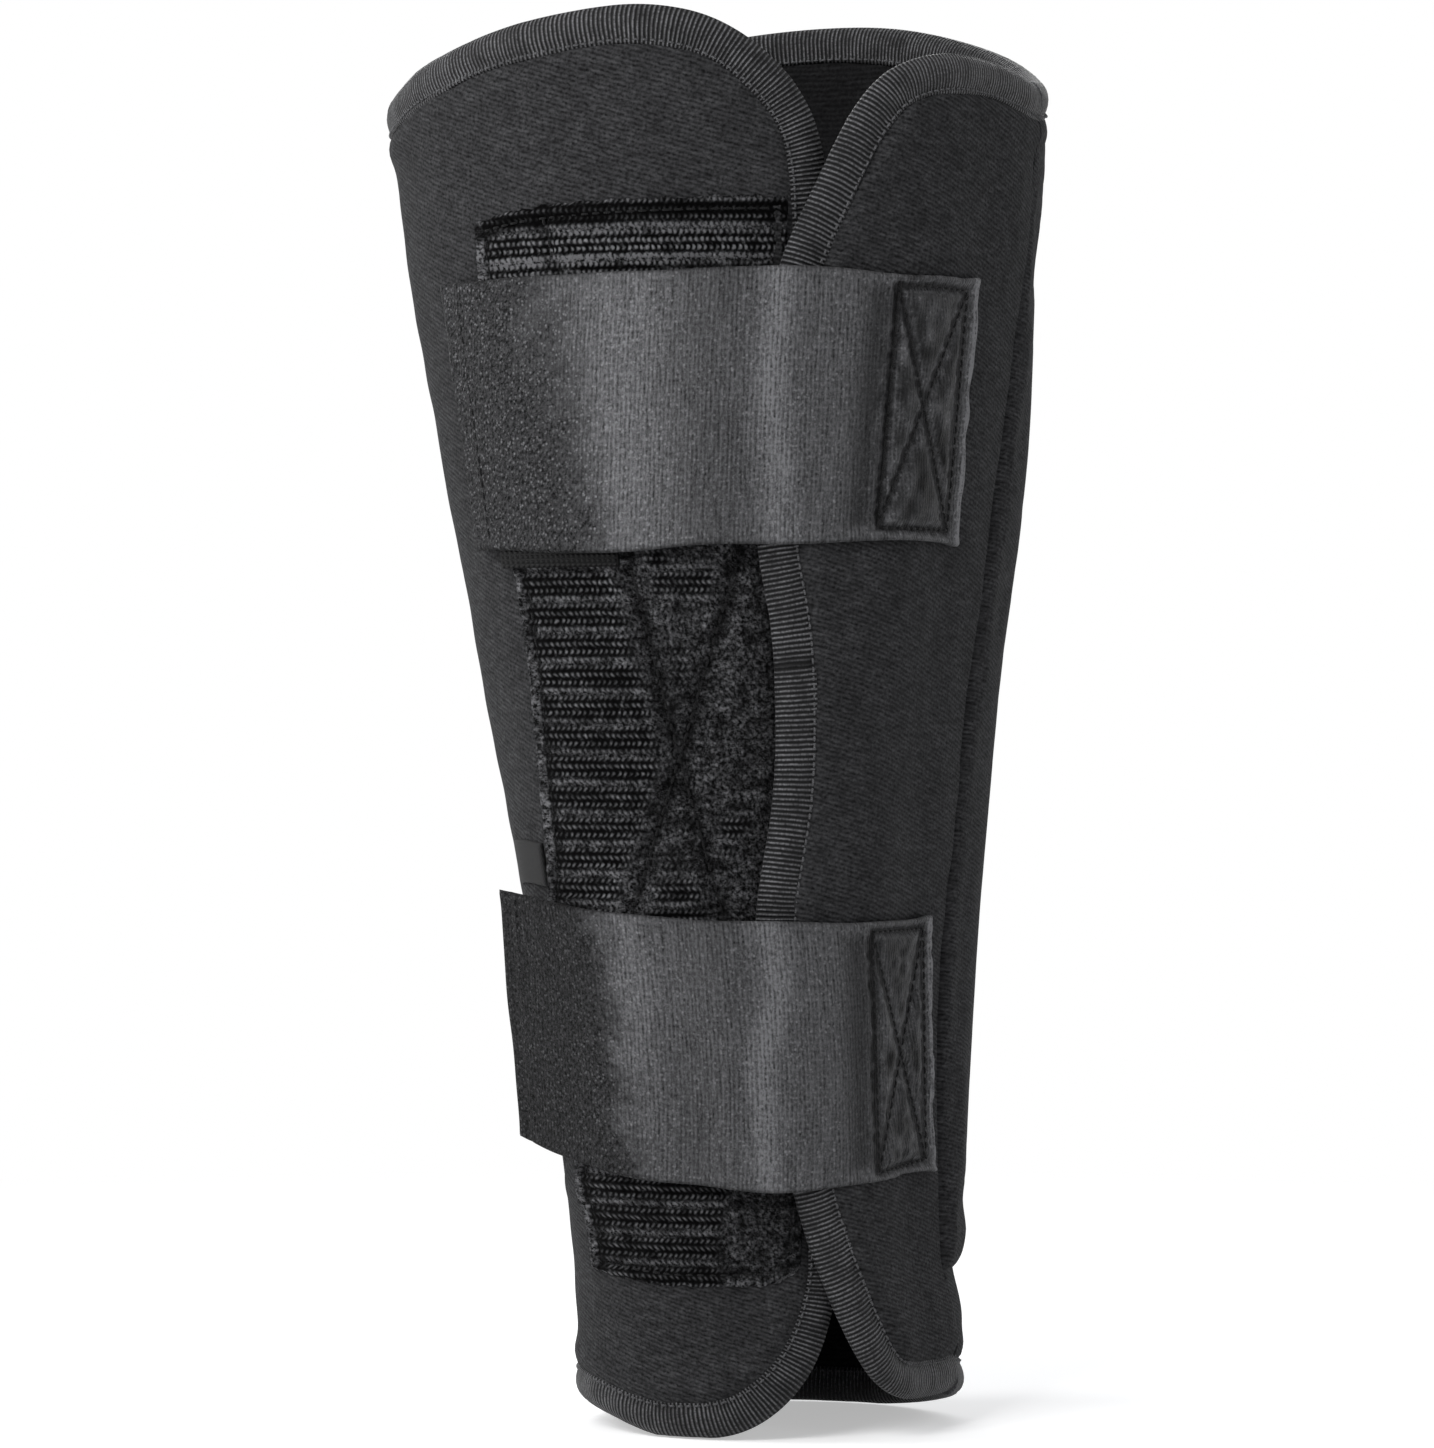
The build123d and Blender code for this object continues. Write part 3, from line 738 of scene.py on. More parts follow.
def shell_out(seed):
    """The shell's outer face: flat under the tape, a soft roll beside it, presses and ripples."""
    def f(phi, z, depth):
        p = leg(phi, z, 0)
        soft = smooth((depth - TAPE_REACH) / TAPE_FADE)
        roll = 1.05 * bell(depth - 12.8, 3.4)
        crinkle = 0.1 * waves(p, 13.0, seed + 1)
        return (-0.75 + soft * (0.75 + roll + presses(phi, z) + cuff(phi, z) + crinkle)
                + 0.3 * waves(p, 52.0, seed) * smooth((depth - 8) / 20))
    return f


def lining_in(phi, z, depth):
    soft = smooth((depth - TAPE_REACH) / TAPE_FADE)
    roll = 0.3 * bell(depth - 12.6, 3.6) * soft
    return INNER + 0.4 * (1 - soft) - roll + 0.12 * waves(leg(phi, z, 0), 30.0, 77)


def level(out):
    """The same height everywhere."""
    return lambda phi, z, depth: np.full(np.shape(phi), out)


CELL = 1.45              # the shells' mesh size


def across_steps(a, b):
    return np.linspace(a, b, int(abs(b - a) * DEGREE / CELL) + 2)


def up_steps(a, b):
    return np.linspace(a, b, int((b - a) / CELL) + 2)


sets = (("left_wing", across_steps(UNDER_SEAM, -28.0), [under_path], none, 11),
        ("right_wing", across_steps(-70.0, OVER_SEAM), [over_path], lift, 21),
        ("front", across_steps(*FRONT_SPAN), [front_top_path, front_bottom_path[::-1]], none, 31))
shells = {}
for name, phis, paths, rise, seed in sets:
    zs = up_steps(0.5, 356.0)
    shells[name] = shell_piece(f"{name}_shell", phis, zs, paths, rise, shell_out(seed), level(SHELL_IN),
                               M_SHELL)
    shells[name + "_lining"] = shell_piece(f"{name}_lining_cloth", phis[::2], zs[::2], paths, rise,
                                           level(LINING_OUT), lining_in, M_LINING)

tapes, rims, tape_threads = {}, {}, {}
for name, piece, path, rise, side, seed, lap in (
        ("left", "left_edge_tape", under_path, none, 1, 41, None),
        ("right", "right_edge_tape", over_path, lift, -1, 42, 187.6),
        ("front_top", "top_edge_tape_front", front_top_path, none, 1, 43, None),
        ("front_bottom", "bottom_edge_tape_front", front_bottom_path, none, -1, 44, None)):
    tapes[name], rims[name] = tape_piece(piece, path, rise, side, seed, lap)
for name, rim in rims.items():
    tape_threads[name] = rim_stitches(f"{name}_tape_stitches", rim, 8.5, 0.5, 2.1)

# ---------------------------------------------------------------- loop panel
LOOP_HEIGHT, LOOP_SLANT = 258.0, 1.12           # and the panel's width over its width in the photo's view
LOOP_LEFT = [(41, -44), (49.2, -45), (66, -48.4), (100, -52), (134, -54.7), (163.4, -56.7), (194, -59.9),
             (240, -66), (295, -72.2)]
LOOP_RIGHT = [(42.5, 6.0), (52, 6.6), (80, 5.2), (130, 3.6), (200, 2.6), (270, 2.8), (299.6, 2.6)]
LOOP_TOP = [(-72.2, 295), (-61.4, 297.3), (-39.1, 298.8), (-17.5, 299.3), (2.6, 299.6)]
LOOP_BOTTOM = [(-44, 41), (-34.5, 39.2), (-25, 38.2), (-11, 38.2), (2, 39.4), (6, 42.5)]
CROSS = [[(-55.0, 295.5), (-23.0, 167.0), (5.0, 63.0)], [(1.2, 250.0), (-23.0, 167.0), (-48.2, 81.0)]]


def along_line(points, x):
    c = curve_through(points)
    return np.interp(x, c[:, 0], c[:, 1])


def patch_grid(left, right, top, bottom, nu, nv):
    """(across, up) grid between a left, right, top and bottom edge."""
    u, v = np.meshgrid(np.linspace(0, 1, nu), np.linspace(0, 1, nv), indexing="ij")
    z = np.full(u.shape, 170.0)
    for _ in range(6):
        s = along_line(left, z) * (1 - u) + along_line(right, z) * u
        z = along_line(bottom, s) * (1 - v) + along_line(top, s) * v
    return s, z, u, v


def border_distance(u, v, width, height):
    """Distance in from the border of a patch, whose u and v go from 0 to 1."""
    return np.minimum(np.minimum(u, 1 - u) * width, np.minimum(v, 1 - v) * height)


fine = 0.85
s, z, u, v = patch_grid(LOOP_LEFT, LOOP_RIGHT, LOOP_TOP, LOOP_BOTTOM, int(92 / fine), int(LOOP_HEIGHT / fine))
phi = near_phi(s, z)
width = np.abs(along_line(LOOP_RIGHT, z) - along_line(LOOP_LEFT, z)) * LOOP_SLANT
edge = border_distance(u, v, width, LOOP_HEIGHT)
p0 = leg(phi, z, 0)
cross = segment_distance(s, z, CROSS)
sunk = 0.6 * bell(edge - 3.0, 0.9) + 0.75 * bell(cross, 1.2) - 0.25 * bell(cross - 3.5, 2.2)
tufts = 0.16 * waves(p0, 5.0, 51, 12) + 0.12 * waves(p0, 2.3, 52, 12)
tufts = tufts + 0.12 * np.sin(2 * math.pi * z / 2.4 + 1.5 * waves(p0, 16.0, 53))
height_map = (0.35 - sunk + (1.1 + tufts) * rounded(edge / 1.2)
              + shell_out(11)(phi, z, np.full(phi.shape, 40.0)))
fray = 0.35 * waves(p0, 3.0, 54) * (1 - np.clip(edge / 2.0, 0, 1))
outer = leg(phi, z + fray, np.maximum(height_map, 0.25))
inner = leg(phi, z + fray, np.full(phi.shape, -0.6))
from_left = u * width
top_gap = along_line(LOOP_TOP, s) - z
low_gap = z - along_line(LOOP_BOTTOM, s)
# painted shade in the stitched groove of the cross, and painted light on the raised fleece beside it
seam = cross + 1.2 * waves(p0, 6.0, 57)
tone = 1.0 - 0.66 * bell(seam, 1.6) + 0.3 * bell(cross - 5.0, 3.5)
# painted shade in the groove of the left border stitches, and painted shade towards the right edge, under the
# over-wing's edge
tone *= 1.0 - 0.8 * bell(from_left - 3.6, 0.9) - 0.35 * smooth((u - 0.8) / 0.2)
tone = np.where(from_left < 2.6, 1.5 - 0.3 * np.cos(z * 2.4), tone)
tone *= 1.0 - 0.75 * smooth((5.2 - top_gap) / 1.0) * smooth((top_gap - 0.8) / 0.8)
# lighter band near the top; painted shade in the groove of the bottom border stitches
tone *= 1.0 + 1.9 * bell(top_gap - 12.0, 5.0) - 0.6 * bell(low_gap - 3.4, 1.0)
tone = np.where(low_gap < 1.7, 1.7, tone) * (1 - 0.5 * bell(top_gap - 20.0, 3.0))
order = smooth((0.66 - u + 0.14 * waves(p0, 22.0, 58)) / 0.12) * smooth((cross - 1.0) / 5.0)
order = np.maximum(order, smooth((20.0 - top_gap) / 6.0)) * (from_left > 2.6)
uv = np.stack([from_left, z], axis=-1)
loop_obj = grid_slab("loop_panel_fleece", outer, inner, uv, M_LOOP)
paint_slab(loop_obj, tone=tone, order=order)


def on_wing(out):
    def f(s, z):
        phi = near_phi(s, z)
        return leg(phi, z, out), leg_normal(phi, z)
    return f


def border_line(inset):
    zs = np.linspace(41 + inset, 295 - inset, 60)
    left = [(along_line(LOOP_LEFT, z) + inset * 1.05, z) for z in zs]
    ss = np.linspace(-72.2 + inset, 2.6 - inset, 24)
    top = [(s, along_line(LOOP_TOP, s) - inset) for s in ss]
    right = [(along_line(LOOP_RIGHT, z) - inset, z) for z in np.linspace(299.6 - inset, 43 + inset, 60)]
    sb = np.linspace(6 - inset, -44 + inset, 20)
    bottom = [(s, along_line(LOOP_BOTTOM, s) + inset) for s in sb]
    return [left, top, right, bottom]


loop_border = line_stitches("loop_border_stitches", border_line(3.0), on_wing(1.05), 2.9, 2.1, 0.3)
loop_cross = line_stitches("loop_cross_stitches", CROSS, on_wing(0.95), 2.7, 2.1, 0.34)

# ---------------------------------------------------------------- straps
STRAP, STRAP_WIDTH = 1.5, 65.0
HOOK_IN, HOOK = 1.8, 1.4
STRAP_LOW = HOOK_IN + HOOK + 0.05               # inner face over the loop panel
STRAP_HIGH = 8.7                                # and past the over-wing's edge, where the rise is over
WRAP = 56.0                                     # radius of the leg where the free part leaves it straight


def strap_in(a, release):
    a = np.asarray(a, float)
    on_wing_face = lift(a) + 0.3 + (STRAP_HIGH - LIFT - 0.3) * smooth((-31 - a) / 12)
    down = STRAP_HIGH + (STRAP_LOW - STRAP_HIGH) * smooth((-61.5 - a) / 16.5)
    loose = np.clip(release - a, 0, 60)
    down = down + WRAP * (1 / np.cos(np.radians(loose)) - 1)
    return np.where(a > -61.5, on_wing_face, down)


STRAPS = {
    "upper": dict(
        release=-125.0, right=((218.9, 43.2), (281.4, 48.2)), tip=((216.8, -71.8), (281.1, -80.3)),
        hinge=((218.6, 20.6), (281.8, 26.2)),
        top=[(-82, 281.1), (-61, 281.4), (-28, 281.8), (0, 282.2), (26, 281.8), (50, 281.4)],
        bottom=[(-82, 216.8), (-47, 216.2), (-28.5, 216.5), (0, 217.6), (20.6, 218.6), (50, 219.1)],
        box=[(28.6, 279.0), (45.2, 278.8), (40.6, 221.8), (23.6, 221.6)],
        hook=((-44.0, 277.8), (-37.5, 212.4), (-66.0, 212.4), (-72.0, 277.6)), mat=M_UPPER, seed=61,
        ridge=0.0, hook_edge=((217.0, -42.0), (281.0, -56.0)), hook_soft=26.0, hook_wave=3.5),
    "lower": dict(
        release=-106.0, right=((65.0, 38.9), (127.2, 37.6)), tip=((73.6, -61.6), (135.0, -66.8)),
        hinge=((63.4, 22.6), (127.2, 20.4)),
        top=[(-68, 135.3), (-50.4, 131.4), (-35, 129.2), (-19.8, 128.2), (-4.5, 127.9), (20, 127.2),
             (40, 127.2)],
        bottom=[(-68, 75.4), (-61.6, 73.6), (-54.3, 70.6), (-36, 65.4), (-20, 63.4), (-4.6, 62.4),
                (7.5, 62.2), (22.6, 63.4), (40, 65.1)],
        box=[(22.8, 124.8), (35.6, 124.8), (36.6, 67.4), (24.8, 65.8)],
        hook=((-40.0, 126.6), (-35.0, 67.4), (-58.4, 75.6), (-63.4, 130.6)), mat=M_LOWER, seed=71,
        ridge=-1.0, hook_edge=((66.0, -31.0), (130.0, -42.0)), hook_soft=17.0, hook_wave=1.5),
}


def end_line(pair, z):
    (z0, s0), (z1, s1) = pair
    return s0 + (s1 - s0) * (z - z0) / (z1 - z0)


def strap_face(k, s, z):
    """Inner face offset of a strap and the angle there."""
    release = k["release"]
    phi = near_phi(s, z, lambda a: strap_in(a, release))
    return phi, strap_in(phi, release)


def box_lines(k):
    """Rows of thread of a sewn box and its cross."""
    a, b, c, d = k["box"]
    return [[a, b], [b, c], [c, d], [d, a], [a, c], [b, d]]


def box_side(k, s, z):
    """Across the sewn box: -1 at its left row of thread, +1 at its right one."""
    b = k["box"]
    left = b[3][0] + (b[0][0] - b[3][0]) * (z - b[3][1]) / (b[0][1] - b[3][1])
    right = b[2][0] + (b[1][0] - b[2][0]) * (z - b[2][1]) / (b[1][1] - b[2][1])
    return 2 * (s - left) / (right - left) - 1


strap_objs, strap_threads, hook_objs = {}, {}, {}
for name, k in STRAPS.items():
    step = 1.0
    rows, near_rows = int(118 / step), int(32 / (0.55 * step))
    nv = int(66 / (0.62 * step))
    us = np.concatenate([np.linspace(0, 0.2, near_rows, endpoint=False), np.linspace(0.2, 1, rows)])
    u, v = np.meshgrid(us, 0.5 + 0.5 * crowded(nv, 1.12), indexing="ij")
    z = np.full(u.shape, np.mean([q[1] for q in k["top"]] + [q[1] for q in k["bottom"]]))
    for _ in range(6):
        s = end_line(k["right"], z) * (1 - u) + end_line(k["tip"], z) * u
        z = along_line(k["bottom"], s) * (1 - v) + along_line(k["top"], s) * v
    phi, face = strap_face(k, s, z)
    p0 = leg(phi, z, face)
    steps = np.linalg.norm(np.diff(p0, axis=0), axis=2)
    along = np.concatenate([np.zeros((1, nv)), np.cumsum(steps, axis=0)])
    side = np.minimum(v, 1 - v) * STRAP_WIDTH
    ends = np.minimum(along, along[-1] - along)
    edge = np.minimum(side, ends)
    thick = 0.45 + 0.55 * rounded(edge / 0.9)
    sway = 0.28 * waves(p0, 40.0, k["seed"]) * (0.3 + bell(side, 10.0))
    sway = sway + 0.9 * bell(along, 6.0) * np.sign(v - 0.5) * bell(side, 5.0)
    sewn = segment_distance(s, z, box_lines(k))
    bitten = sewn + 0.35 * waves(p0, 3.2, k["seed"] + 7)
    hinge_side = s - end_line(k["hinge"], z)
    on_anchor = smooth((hinge_side + 1.0) / 2.0)
    lumps = waves(p0, 6.0, k["seed"] + 5) * smooth((sewn - 1.0) / 2.0)
    puffs = 0.6 * bell(sewn - 4.0, 2.4) + 0.45 * lumps
    pucker = on_anchor * (-1.15 * bell(bitten, 1.35) + puffs)
    trough = bell(hinge_side + 1.6, 3.6) * smooth((v - 0.02) / 0.06) * smooth((0.98 - v) / 0.06)
    pucker = pucker - 0.85 * trough
    over_edge = s - k["ridge"] - 3.0 * waves(p0 * np.array([0, 0, 1]), 45.0, k["seed"] + 8)
    pucker = pucker + 0.55 * bell(over_edge, 4.5) - 0.35 * bell(over_edge + 15.0, 7.0)
    pucker = pucker + 0.3 * bell(over_edge + 38.0, 9.0)
    hem = -0.35 * bell(along[-1] - along - 4.5, 0.9) * (along > 40)
    curl = 0.5 * bell(side, 3.0) * smooth((-63 - phi) / 8)
    ripples = 0.16 * waves(p0, 11.0, k["seed"] + 1)
    ripples = ripples + 0.3 * waves(p0 * np.array([1, 1, 2.5]), 60.0, k["seed"] + 2)
    lift_off = STRAP * thick + np.maximum(pucker, -1.3) + hem + ripples * 0.8 + 0.25 * curl
    outer = leg(phi, z + sway, face + lift_off)
    sunk = np.minimum(pucker, 0) * on_anchor * 0.3
    inner = leg(phi, z + sway, face + 0.1 + STRAP * (1 - thick) * 0.4 + 0.1 * curl + sunk)
    # painted shade in the grooves of the sewn box's stitches and in the trough beside the hinge
    tone = 1.0 - 0.8 * on_anchor * bell(bitten, 1.0) - 0.62 * trough
    # darker inside the sewn box, less so in its left third
    box_darkening = on_anchor * smooth((sewn - 0.8) / 1.2) * inside(np.array(k["box"]), s, z)
    left_third = smooth((-0.5 - box_side(k, s, z) + 0.12 * waves(p0, 9.0, k["seed"] + 9)) / 0.3)
    tone *= 1.0 - box_darkening * (0.7 - 0.5 * left_third + 0.3 * waves(p0, 9.0, k["seed"] + 13))
    # painted light and shade on the lumps of the sewn box, and painted glints beside its stitches
    glints = bell(bitten - 2.6, 1.0) * np.maximum(waves(p0, 4.0, k["seed"] + 11), 0)
    tone *= 1.0 + on_anchor * (0.55 * lumps + 0.45 * glints)
    tone *= 1.0 + (1.5 + 0.8 * waves(p0, 3.0, k["seed"] + 12)) * bell(along - 1.3, 1.0)
    # painted highlight along the ridge over the over-wing's edge and further left, with painted shade between
    # them
    painted_sheen_bands = 0.85 * bell(over_edge, 3.6) - 0.22 * bell(over_edge + 15.0, 8.0)
    tone *= 1.0 + painted_sheen_bands + 0.4 * bell(over_edge + 36.0, 8.0)
    tone *= 1.0 - 0.45 * bell(side, 0.7)
    where = s - end_line(k["hook_edge"], z) + k["hook_wave"] * waves(p0, 16.0, k["seed"] + 6)
    hooked = smooth(0.5 - where / k["hook_soft"])
    uv = np.stack([along, v * STRAP_WIDTH], axis=-1)
    strap_objs[name] = grid_slab(f"{name}_strap_elastic", outer, inner, uv, k["mat"])
    paint_slab(strap_objs[name], tone=tone, hooked=hooked)

    def on_strap(out, k=k):
        def f(s, z):
            phi, face = strap_face(k, s, z)
            return leg(phi, z, face + out), leg_normal(phi, z)
        return f

    strap_threads[name] = line_stitches(f"{name}_anchor_box_stitches", box_lines(k),
                                        on_strap(STRAP - 0.35), 2.7, 2.0, 0.34)
    z0, z1 = k["tip"][0][0] + 3.0, k["tip"][1][0] - 3.0
    tip = [[(end_line(k["tip"], zz) + 4.4, zz) for zz in np.linspace(z0, z1, 12)]]
    strap_threads[name + "_tip"] = line_stitches(f"{name}_tip_stitches", tip,
                                                 on_strap(STRAP - 0.12), 2.9, 2.0, 0.3)

    # hook patch
    u, v = np.meshgrid(np.linspace(0, 1, 34), np.linspace(0, 1, 60), indexing="ij")
    a, b, c, d = k["hook"]
    s, z = ((1 - u) * (1 - v) * c[i] + u * (1 - v) * b[i] + u * v * a[i] + (1 - u) * v * d[i] for i in (0, 1))
    phi, face = strap_face(k, s, z)
    outer, inner = leg(phi, z, face - 0.05), leg(phi, z, face - 0.05 - HOOK)
    uv = np.stack([u * 32, v * 62], axis=-1)
    hook_objs[name] = grid_slab(f"{name}_hook_tape", outer, inner, uv, M_HOOK)

# ---------------------------------------------------------------- shin pad
PAD_EDGE_ANGLE, PAD_LOW, PAD_HIGH, PAD_ROUND = 78.6, 38.0, 322.0, 11.0
COVER_EASE, COVER_PRESSURE, COVER_FRAMES = 0.003, 0.6, 20
COVER_CAP = 1.1                                 # the simulated offset stays under this


def pad_out(phi, z):
    """Outer face of the pad's cover: rounded at its rims and crowned over the shin."""
    u = np.abs(phi - 90) / PAD_EDGE_ANGLE
    full = rounded(np.minimum(z - PAD_LOW, PAD_HIGH - z) / PAD_ROUND)
    rim = (1 - np.clip(u, 0, 1)) * PAD_EDGE_ANGLE * DEGREE
    thin = 0.12 + 0.88 * smooth((PAD_HIGH - 8.0 - z) / 75.0)
    side = 3.2 * thin * rounded(rim / 6.5)
    rise = 7.2 * np.clip(1 - u ** 2, 0, 1) ** 2.5
    return -0.55 + 0.75 * smooth(rim / 5.0) * full + full * (side + rise)


def simulated_cover(angles, heights):
    """How far the pad's cover moves out, by a cloth simulation that holds its rim and adds pressure."""
    a, h = np.meshgrid(angles, heights, indexing="ij")
    start = leg(a, h, pad_out(a, h) + 0.12 * waves(leg(a, h, 0), 26.0, 84)) * MM
    mesh = bpy.data.meshes.new("cover_simulation")
    mesh.from_pydata(start.reshape(-1, 3).tolist(), [], grid_quads(*a.shape))
    obj = bpy.data.objects.new("cover_simulation", mesh)
    bpy.context.scene.collection.objects.link(obj)
    held = np.zeros(a.shape, bool)
    held[[0, -1], :] = True
    held[:, [0, -1]] = True
    rim = obj.vertex_groups.new(name="rim")
    rim.add(np.flatnonzero(held).tolist(), 1.0, "REPLACE")
    cloth = obj.modifiers.new("cover", "CLOTH")
    for name, value in dict(quality=6, mass=0.05, tension_stiffness=30.0, compression_stiffness=30.0,
                            shear_stiffness=8.0, bending_stiffness=0.02, vertex_group_mass="rim",
                            shrink_min=-COVER_EASE, use_pressure=True,
                            uniform_pressure_force=COVER_PRESSURE).items():
        setattr(cloth.settings, name, value)
    cloth.settings.effector_weights.gravity = 0.0
    cloth.point_cache.frame_start = 1
    cloth.point_cache.frame_end = COVER_FRAMES
    for frame_number in range(1, COVER_FRAMES + 1):
        bpy.context.scene.frame_set(frame_number)
    done = obj.evaluated_get(bpy.context.evaluated_depsgraph_get()).to_mesh()
    end = np.empty(len(done.vertices) * 3)
    done.vertices.foreach_get("co", end)
    moved = (end.reshape(start.shape) - start) / MM
    bpy.data.objects.remove(obj)
    bpy.data.meshes.remove(mesh)
    bpy.context.scene.frame_set(1)
    out = np.sum(moved * leg_normal(a, h), axis=-1)
    return COVER_CAP * np.tanh(out / COVER_CAP)


def between(values, angles, heights, phi, z):
    """Values on the simulation's grid, read at other angles and heights."""
    i = np.clip(np.interp(phi, angles, np.arange(len(angles))), 0, len(angles) - 1.001)
    j = np.clip(np.interp(z, heights, np.arange(len(heights))), 0, len(heights) - 1.001)
    i0, j0 = i.astype(int), j.astype(int)
    fi, fj = i - i0, j - j0
    low = values[i0, j0] * (1 - fj) + values[i0, j0 + 1] * fj
    high = values[i0 + 1, j0] * (1 - fj) + values[i0 + 1, j0 + 1] * fj
    return low * (1 - fi) + high * fi


phis = 90 + PAD_EDGE_ANGLE * crowded(150, 1.35)
zs = (PAD_LOW + PAD_HIGH) / 2 + (PAD_HIGH - PAD_LOW) / 2 * crowded(200, 1.35)
phi, z = np.meshgrid(phis, zs, indexing="ij")
edge = np.minimum((PAD_EDGE_ANGLE - np.abs(phi - 90)) * DEGREE, np.minimum(z - PAD_LOW, PAD_HIGH - z))
p0 = leg(phi, z, 0)
puff = pad_out(phi, z)
puff = puff + 0.22 * waves(p0, 48.0, 81) * smooth(edge / 14)
puff = puff + 0.14 * waves(p0, 15.0, 82) * bell(edge - 8, 9.0)
sim_angles = np.linspace(90 - PAD_EDGE_ANGLE, 90 + PAD_EDGE_ANGLE, 64)
sim_heights = np.linspace(PAD_LOW, PAD_HIGH, 96)
moved = simulated_cover(sim_angles, sim_heights)
puff = puff + between(moved, sim_angles, sim_heights, phi, z) * smooth(edge / 5)
outer = leg(phi, z, puff)
inner = leg(phi, z, np.full(phi.shape, -1.4))
pad_obj = grid_slab("shin_pad_cover", outer, inner, facing(phi, z), M_PAD)

# ---------------------------------------------------------------- side label, blank
LABEL_WIDTH = 10.6
u, v = np.meshgrid(np.linspace(0, 1, 40), np.linspace(0, 1, 24), indexing="ij")
phi = -136.5 + 20.0 * u
z = 135.8 + LABEL_WIDTH * v + 0.4 * np.sin(u * 4)
edge = border_distance(u, v, 20, LABEL_WIDTH)
body = 0.55 + 0.25 * smooth(edge / 1.0) + 0.12 * np.sin(u * 7.0)
outer = leg(phi, z, body)
inner = leg(phi, z, np.full(phi.shape, -0.3))
uv = np.stack([u * 20, v * LABEL_WIDTH], axis=-1)
label_obj = grid_slab("side_label_tag", outer, inner, uv, M_LABEL)


# ---------------------------------------------------------------- riding and replacing
def seam_points(side, before, after):
    """A point on the front half and one on the wing, square to the leaning side seam."""
    n = Vector((0.0, -1.0, -SEAM_SLOPE)).normalized()
    base = Vector((side * 0.067, (SEAM_Y - SEAM_SLOPE * 175.0) * MM, 0.175))
    return base - n * before * MM, base + n * after * MM


for wing, side in (("right_wing", 1), ("left_wing", -1)):
    a, b = seam_points(side, 12.0, 24.0)
    edge_name = wing.removesuffix("_wing")
    for o in (shells[wing], shells[wing + "_lining"], tapes[edge_name], tape_threads[edge_name]):
        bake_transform(o)
for o in (shells["front"], shells["front_lining"], tapes["front_top"], tapes["front_bottom"],
          tape_threads["front_top"], tape_threads["front_bottom"], pad_obj):
    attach(o, "front")
for o in (loop_obj, loop_border, loop_cross, label_obj):
    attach(o, "left_wing")
for name, k in STRAPS.items():
    (z0, s0), (z1, s1) = k["hinge"]
    zm, sm = (z0 + z1) / 2, (s0 + s1) / 2
    phi, face = strap_face(k, np.array([sm + 2.0, sm - 14.0]), np.array([zm, zm]))
    pts = leg(phi, np.array([zm, zm]), face) * MM
    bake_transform(strap_objs[name])
    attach(strap_threads[name], "right_wing")
    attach(strap_threads[name + "_tip"], f"{name}_strap")
    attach(hook_objs[name], f"{name}_strap")
    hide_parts(f"{name}_strap", f"{name}_strap_anchor")
    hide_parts(f"{name}_anchor_stitching")
    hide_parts(f"{name}_hook_patch")

for obj, *nodes in (
        (shells["front"], "sleeve_front"), (shells["front_lining"], "lining_front"),
        (shells["left_wing"], "left_wing_panel"), (shells["left_wing_lining"], "left_wing_lining"),
        (shells["right_wing"], "right_wing_panel"), (shells["right_wing_lining"], "right_wing_lining"),
        (tapes["front_top"], "top_binding_front"), (tapes["front_bottom"], "bottom_binding_front"),
        (tapes["left"], "left_binding"), (tapes["right"], "right_binding"),
        (loop_obj, "loop_panel"), (loop_cross, "loop_panel_stitching"), (label_obj, "side_label"),
        (pad_obj, "pad_cover", "pad_foam")):
    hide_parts(*nodes)

# ---------------------------------------------------------------- stage, light and camera
FLOOR_GLOW = 0.42                               # its own white near the object; the lamps add theirs
FLOOR_NEAR, FLOOR_FAR = 0.25, 0.9               # it turns plain white between these distances


def seen_directly(tree):
    """1 for a ray from the camera, or one that metal or glass sends on; 0 for light on the object."""
    path = add_node(tree, "LightPath")
    seen = path.outputs["Is Camera Ray"]
    for other in ("Is Glossy Ray", "Is Transmission Ray"):
        either = add_node(tree, "Math")
        either.operation = "MAXIMUM"
        tree.links.new(seen, either.inputs[0])
        tree.links.new(path.outputs[other], either.inputs[1])
        seen = either.outputs[0]
    return seen


def white(tree, strength):
    return add_node(tree, "Emission", Color=(1, 1, 1, 1), Strength=strength).outputs[0]


def mixed(tree, factor, first, second):
    mix = add_node(tree, "MixShader")
    for socket, source in zip(mix.inputs, (factor, first, second)):
        tree.links.new(source, socket)
    return mix.outputs[0]


floor_mat = bpy.data.materials.new("pale_floor")
floor_mat.use_nodes = True
ft = floor_mat.node_tree
ft.nodes.clear()
f_out = add_node(ft, "OutputMaterial")
f_diffuse = add_node(ft, "BsdfDiffuse", Color=(0.82, 0.82, 0.82, 1))
f_lit = add_node(ft, "AddShader")
ft.links.new(f_diffuse.outputs[0], f_lit.inputs[0])
ft.links.new(white(ft, FLOOR_GLOW), f_lit.inputs[1])
f_place = add_node(ft, "NewGeometry")
f_far = add_node(ft, "VectorMath")
f_far.operation = "LENGTH"
ft.links.new(f_place.outputs["Position"], f_far.inputs[0])
f_fade = add_node(ft, "MapRange", From_Min=FLOOR_NEAR, From_Max=FLOOR_FAR)
f_fade.interpolation_type = "SMOOTHSTEP"
ft.links.new(f_far.outputs["Value"], f_fade.inputs["Value"])
f_pale = mixed(ft, f_fade.outputs[0], f_lit.outputs[0], white(ft, 1.0))
ft.links.new(mixed(ft, seen_directly(ft), f_diffuse.outputs[0], f_pale), f_out.inputs["Surface"])
bpy.ops.mesh.primitive_plane_add(size=12.0, location=(0, 0, -0.0005))
floor = bpy.context.object
floor.name = "studio_floor"
floor.data.materials.append(floor_mat)

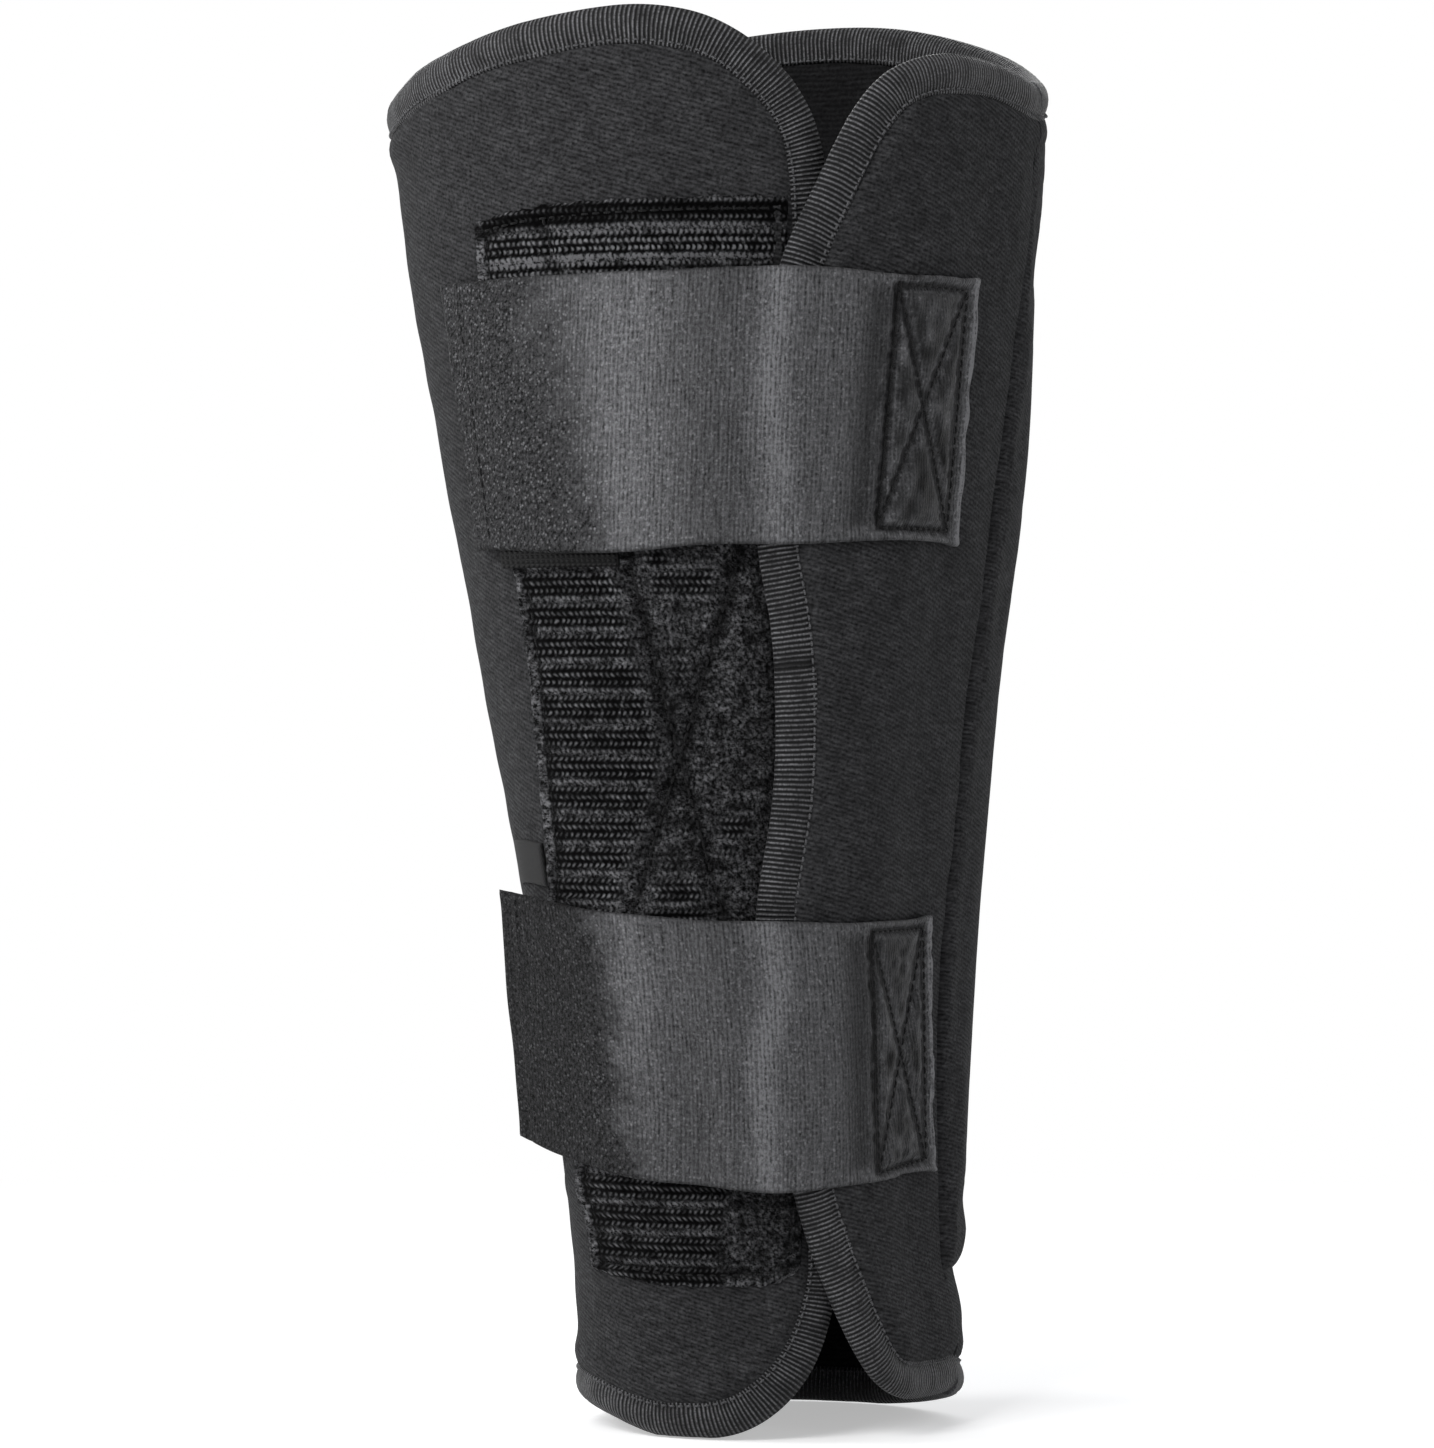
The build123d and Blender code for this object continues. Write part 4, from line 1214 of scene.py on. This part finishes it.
world = bpy.data.worlds.new("studio")
bpy.context.scene.world = world
world.use_nodes = True
wt = world.node_tree
wt.nodes.clear()
w_out = add_node(wt, "OutputWorld")
w_soft = add_node(wt, "Background", Color=(0.9, 0.93, 1.0, 1), Strength=0.22)
w_pale = add_node(wt, "Background", Color=(1, 1, 1, 1), Strength=1.0)
wt.links.new(mixed(wt, seen_directly(wt), w_soft.outputs[0], w_pale.outputs[0]), w_out.inputs["Surface"])


def area_light(name, place, size, power):
    """A plain lamp that faces the middle of the object."""
    data = bpy.data.lights.new(name, "AREA")
    data.shape = "RECTANGLE"
    data.size, data.size_y = size
    data.energy = power
    obj = bpy.data.objects.new(name, data)
    bpy.context.scene.collection.objects.link(obj)
    obj.location = place
    obj.rotation_euler = (centre - place).to_track_quat("-Z", "Y").to_euler()
    return obj


out_dir = Vector((ST, -CT, 0.0))
side_dir = Vector((CT, ST, 0.0))
centre = Vector((0.0, AXIS_Y * MM, 0.18))
lights = [area_light(name, centre + out_dir * away + side_dir * right + Vector((0, 0, up)), size, power)
          for name, away, right, up, size, power in (
              ("key", 1.1, -0.55, 0.75, (0.6, 0.6), 14.0),
              ("fill", 1.3, 0.9, 0.25, (0.9, 1.2), 4.2),
              ("rim_left", 0.1, -1.1, 0.3, (0.5, 1.1), 9.0),
              ("rim_right", -0.2, 1.1, 0.4, (0.5, 1.1), 2.6),
              ("back", -1.3, 0.0, 0.7, (1.0, 0.8), 10.0))]

DISTANCE, VIEW_HEIGHT, SHIFT = 1.6, 0.175, -0.0141
camera_data = bpy.data.cameras.new("camera")
camera_data.sensor_width = 36.0
camera_data.lens = 157.85
camera = bpy.data.objects.new("camera", camera_data)
bpy.context.scene.collection.objects.link(camera)
eye = Vector((0.0, AXIS_Y * MM, VIEW_HEIGHT)) + side_dir * SHIFT
camera.location = eye + out_dir * DISTANCE
camera.rotation_euler = (-out_dir).to_track_quat("-Z", "Y").to_euler()
bpy.context.scene.camera = camera
bpy.context.scene.view_settings.view_transform = "Standard"
bpy.context.scene.view_settings.look = "None"
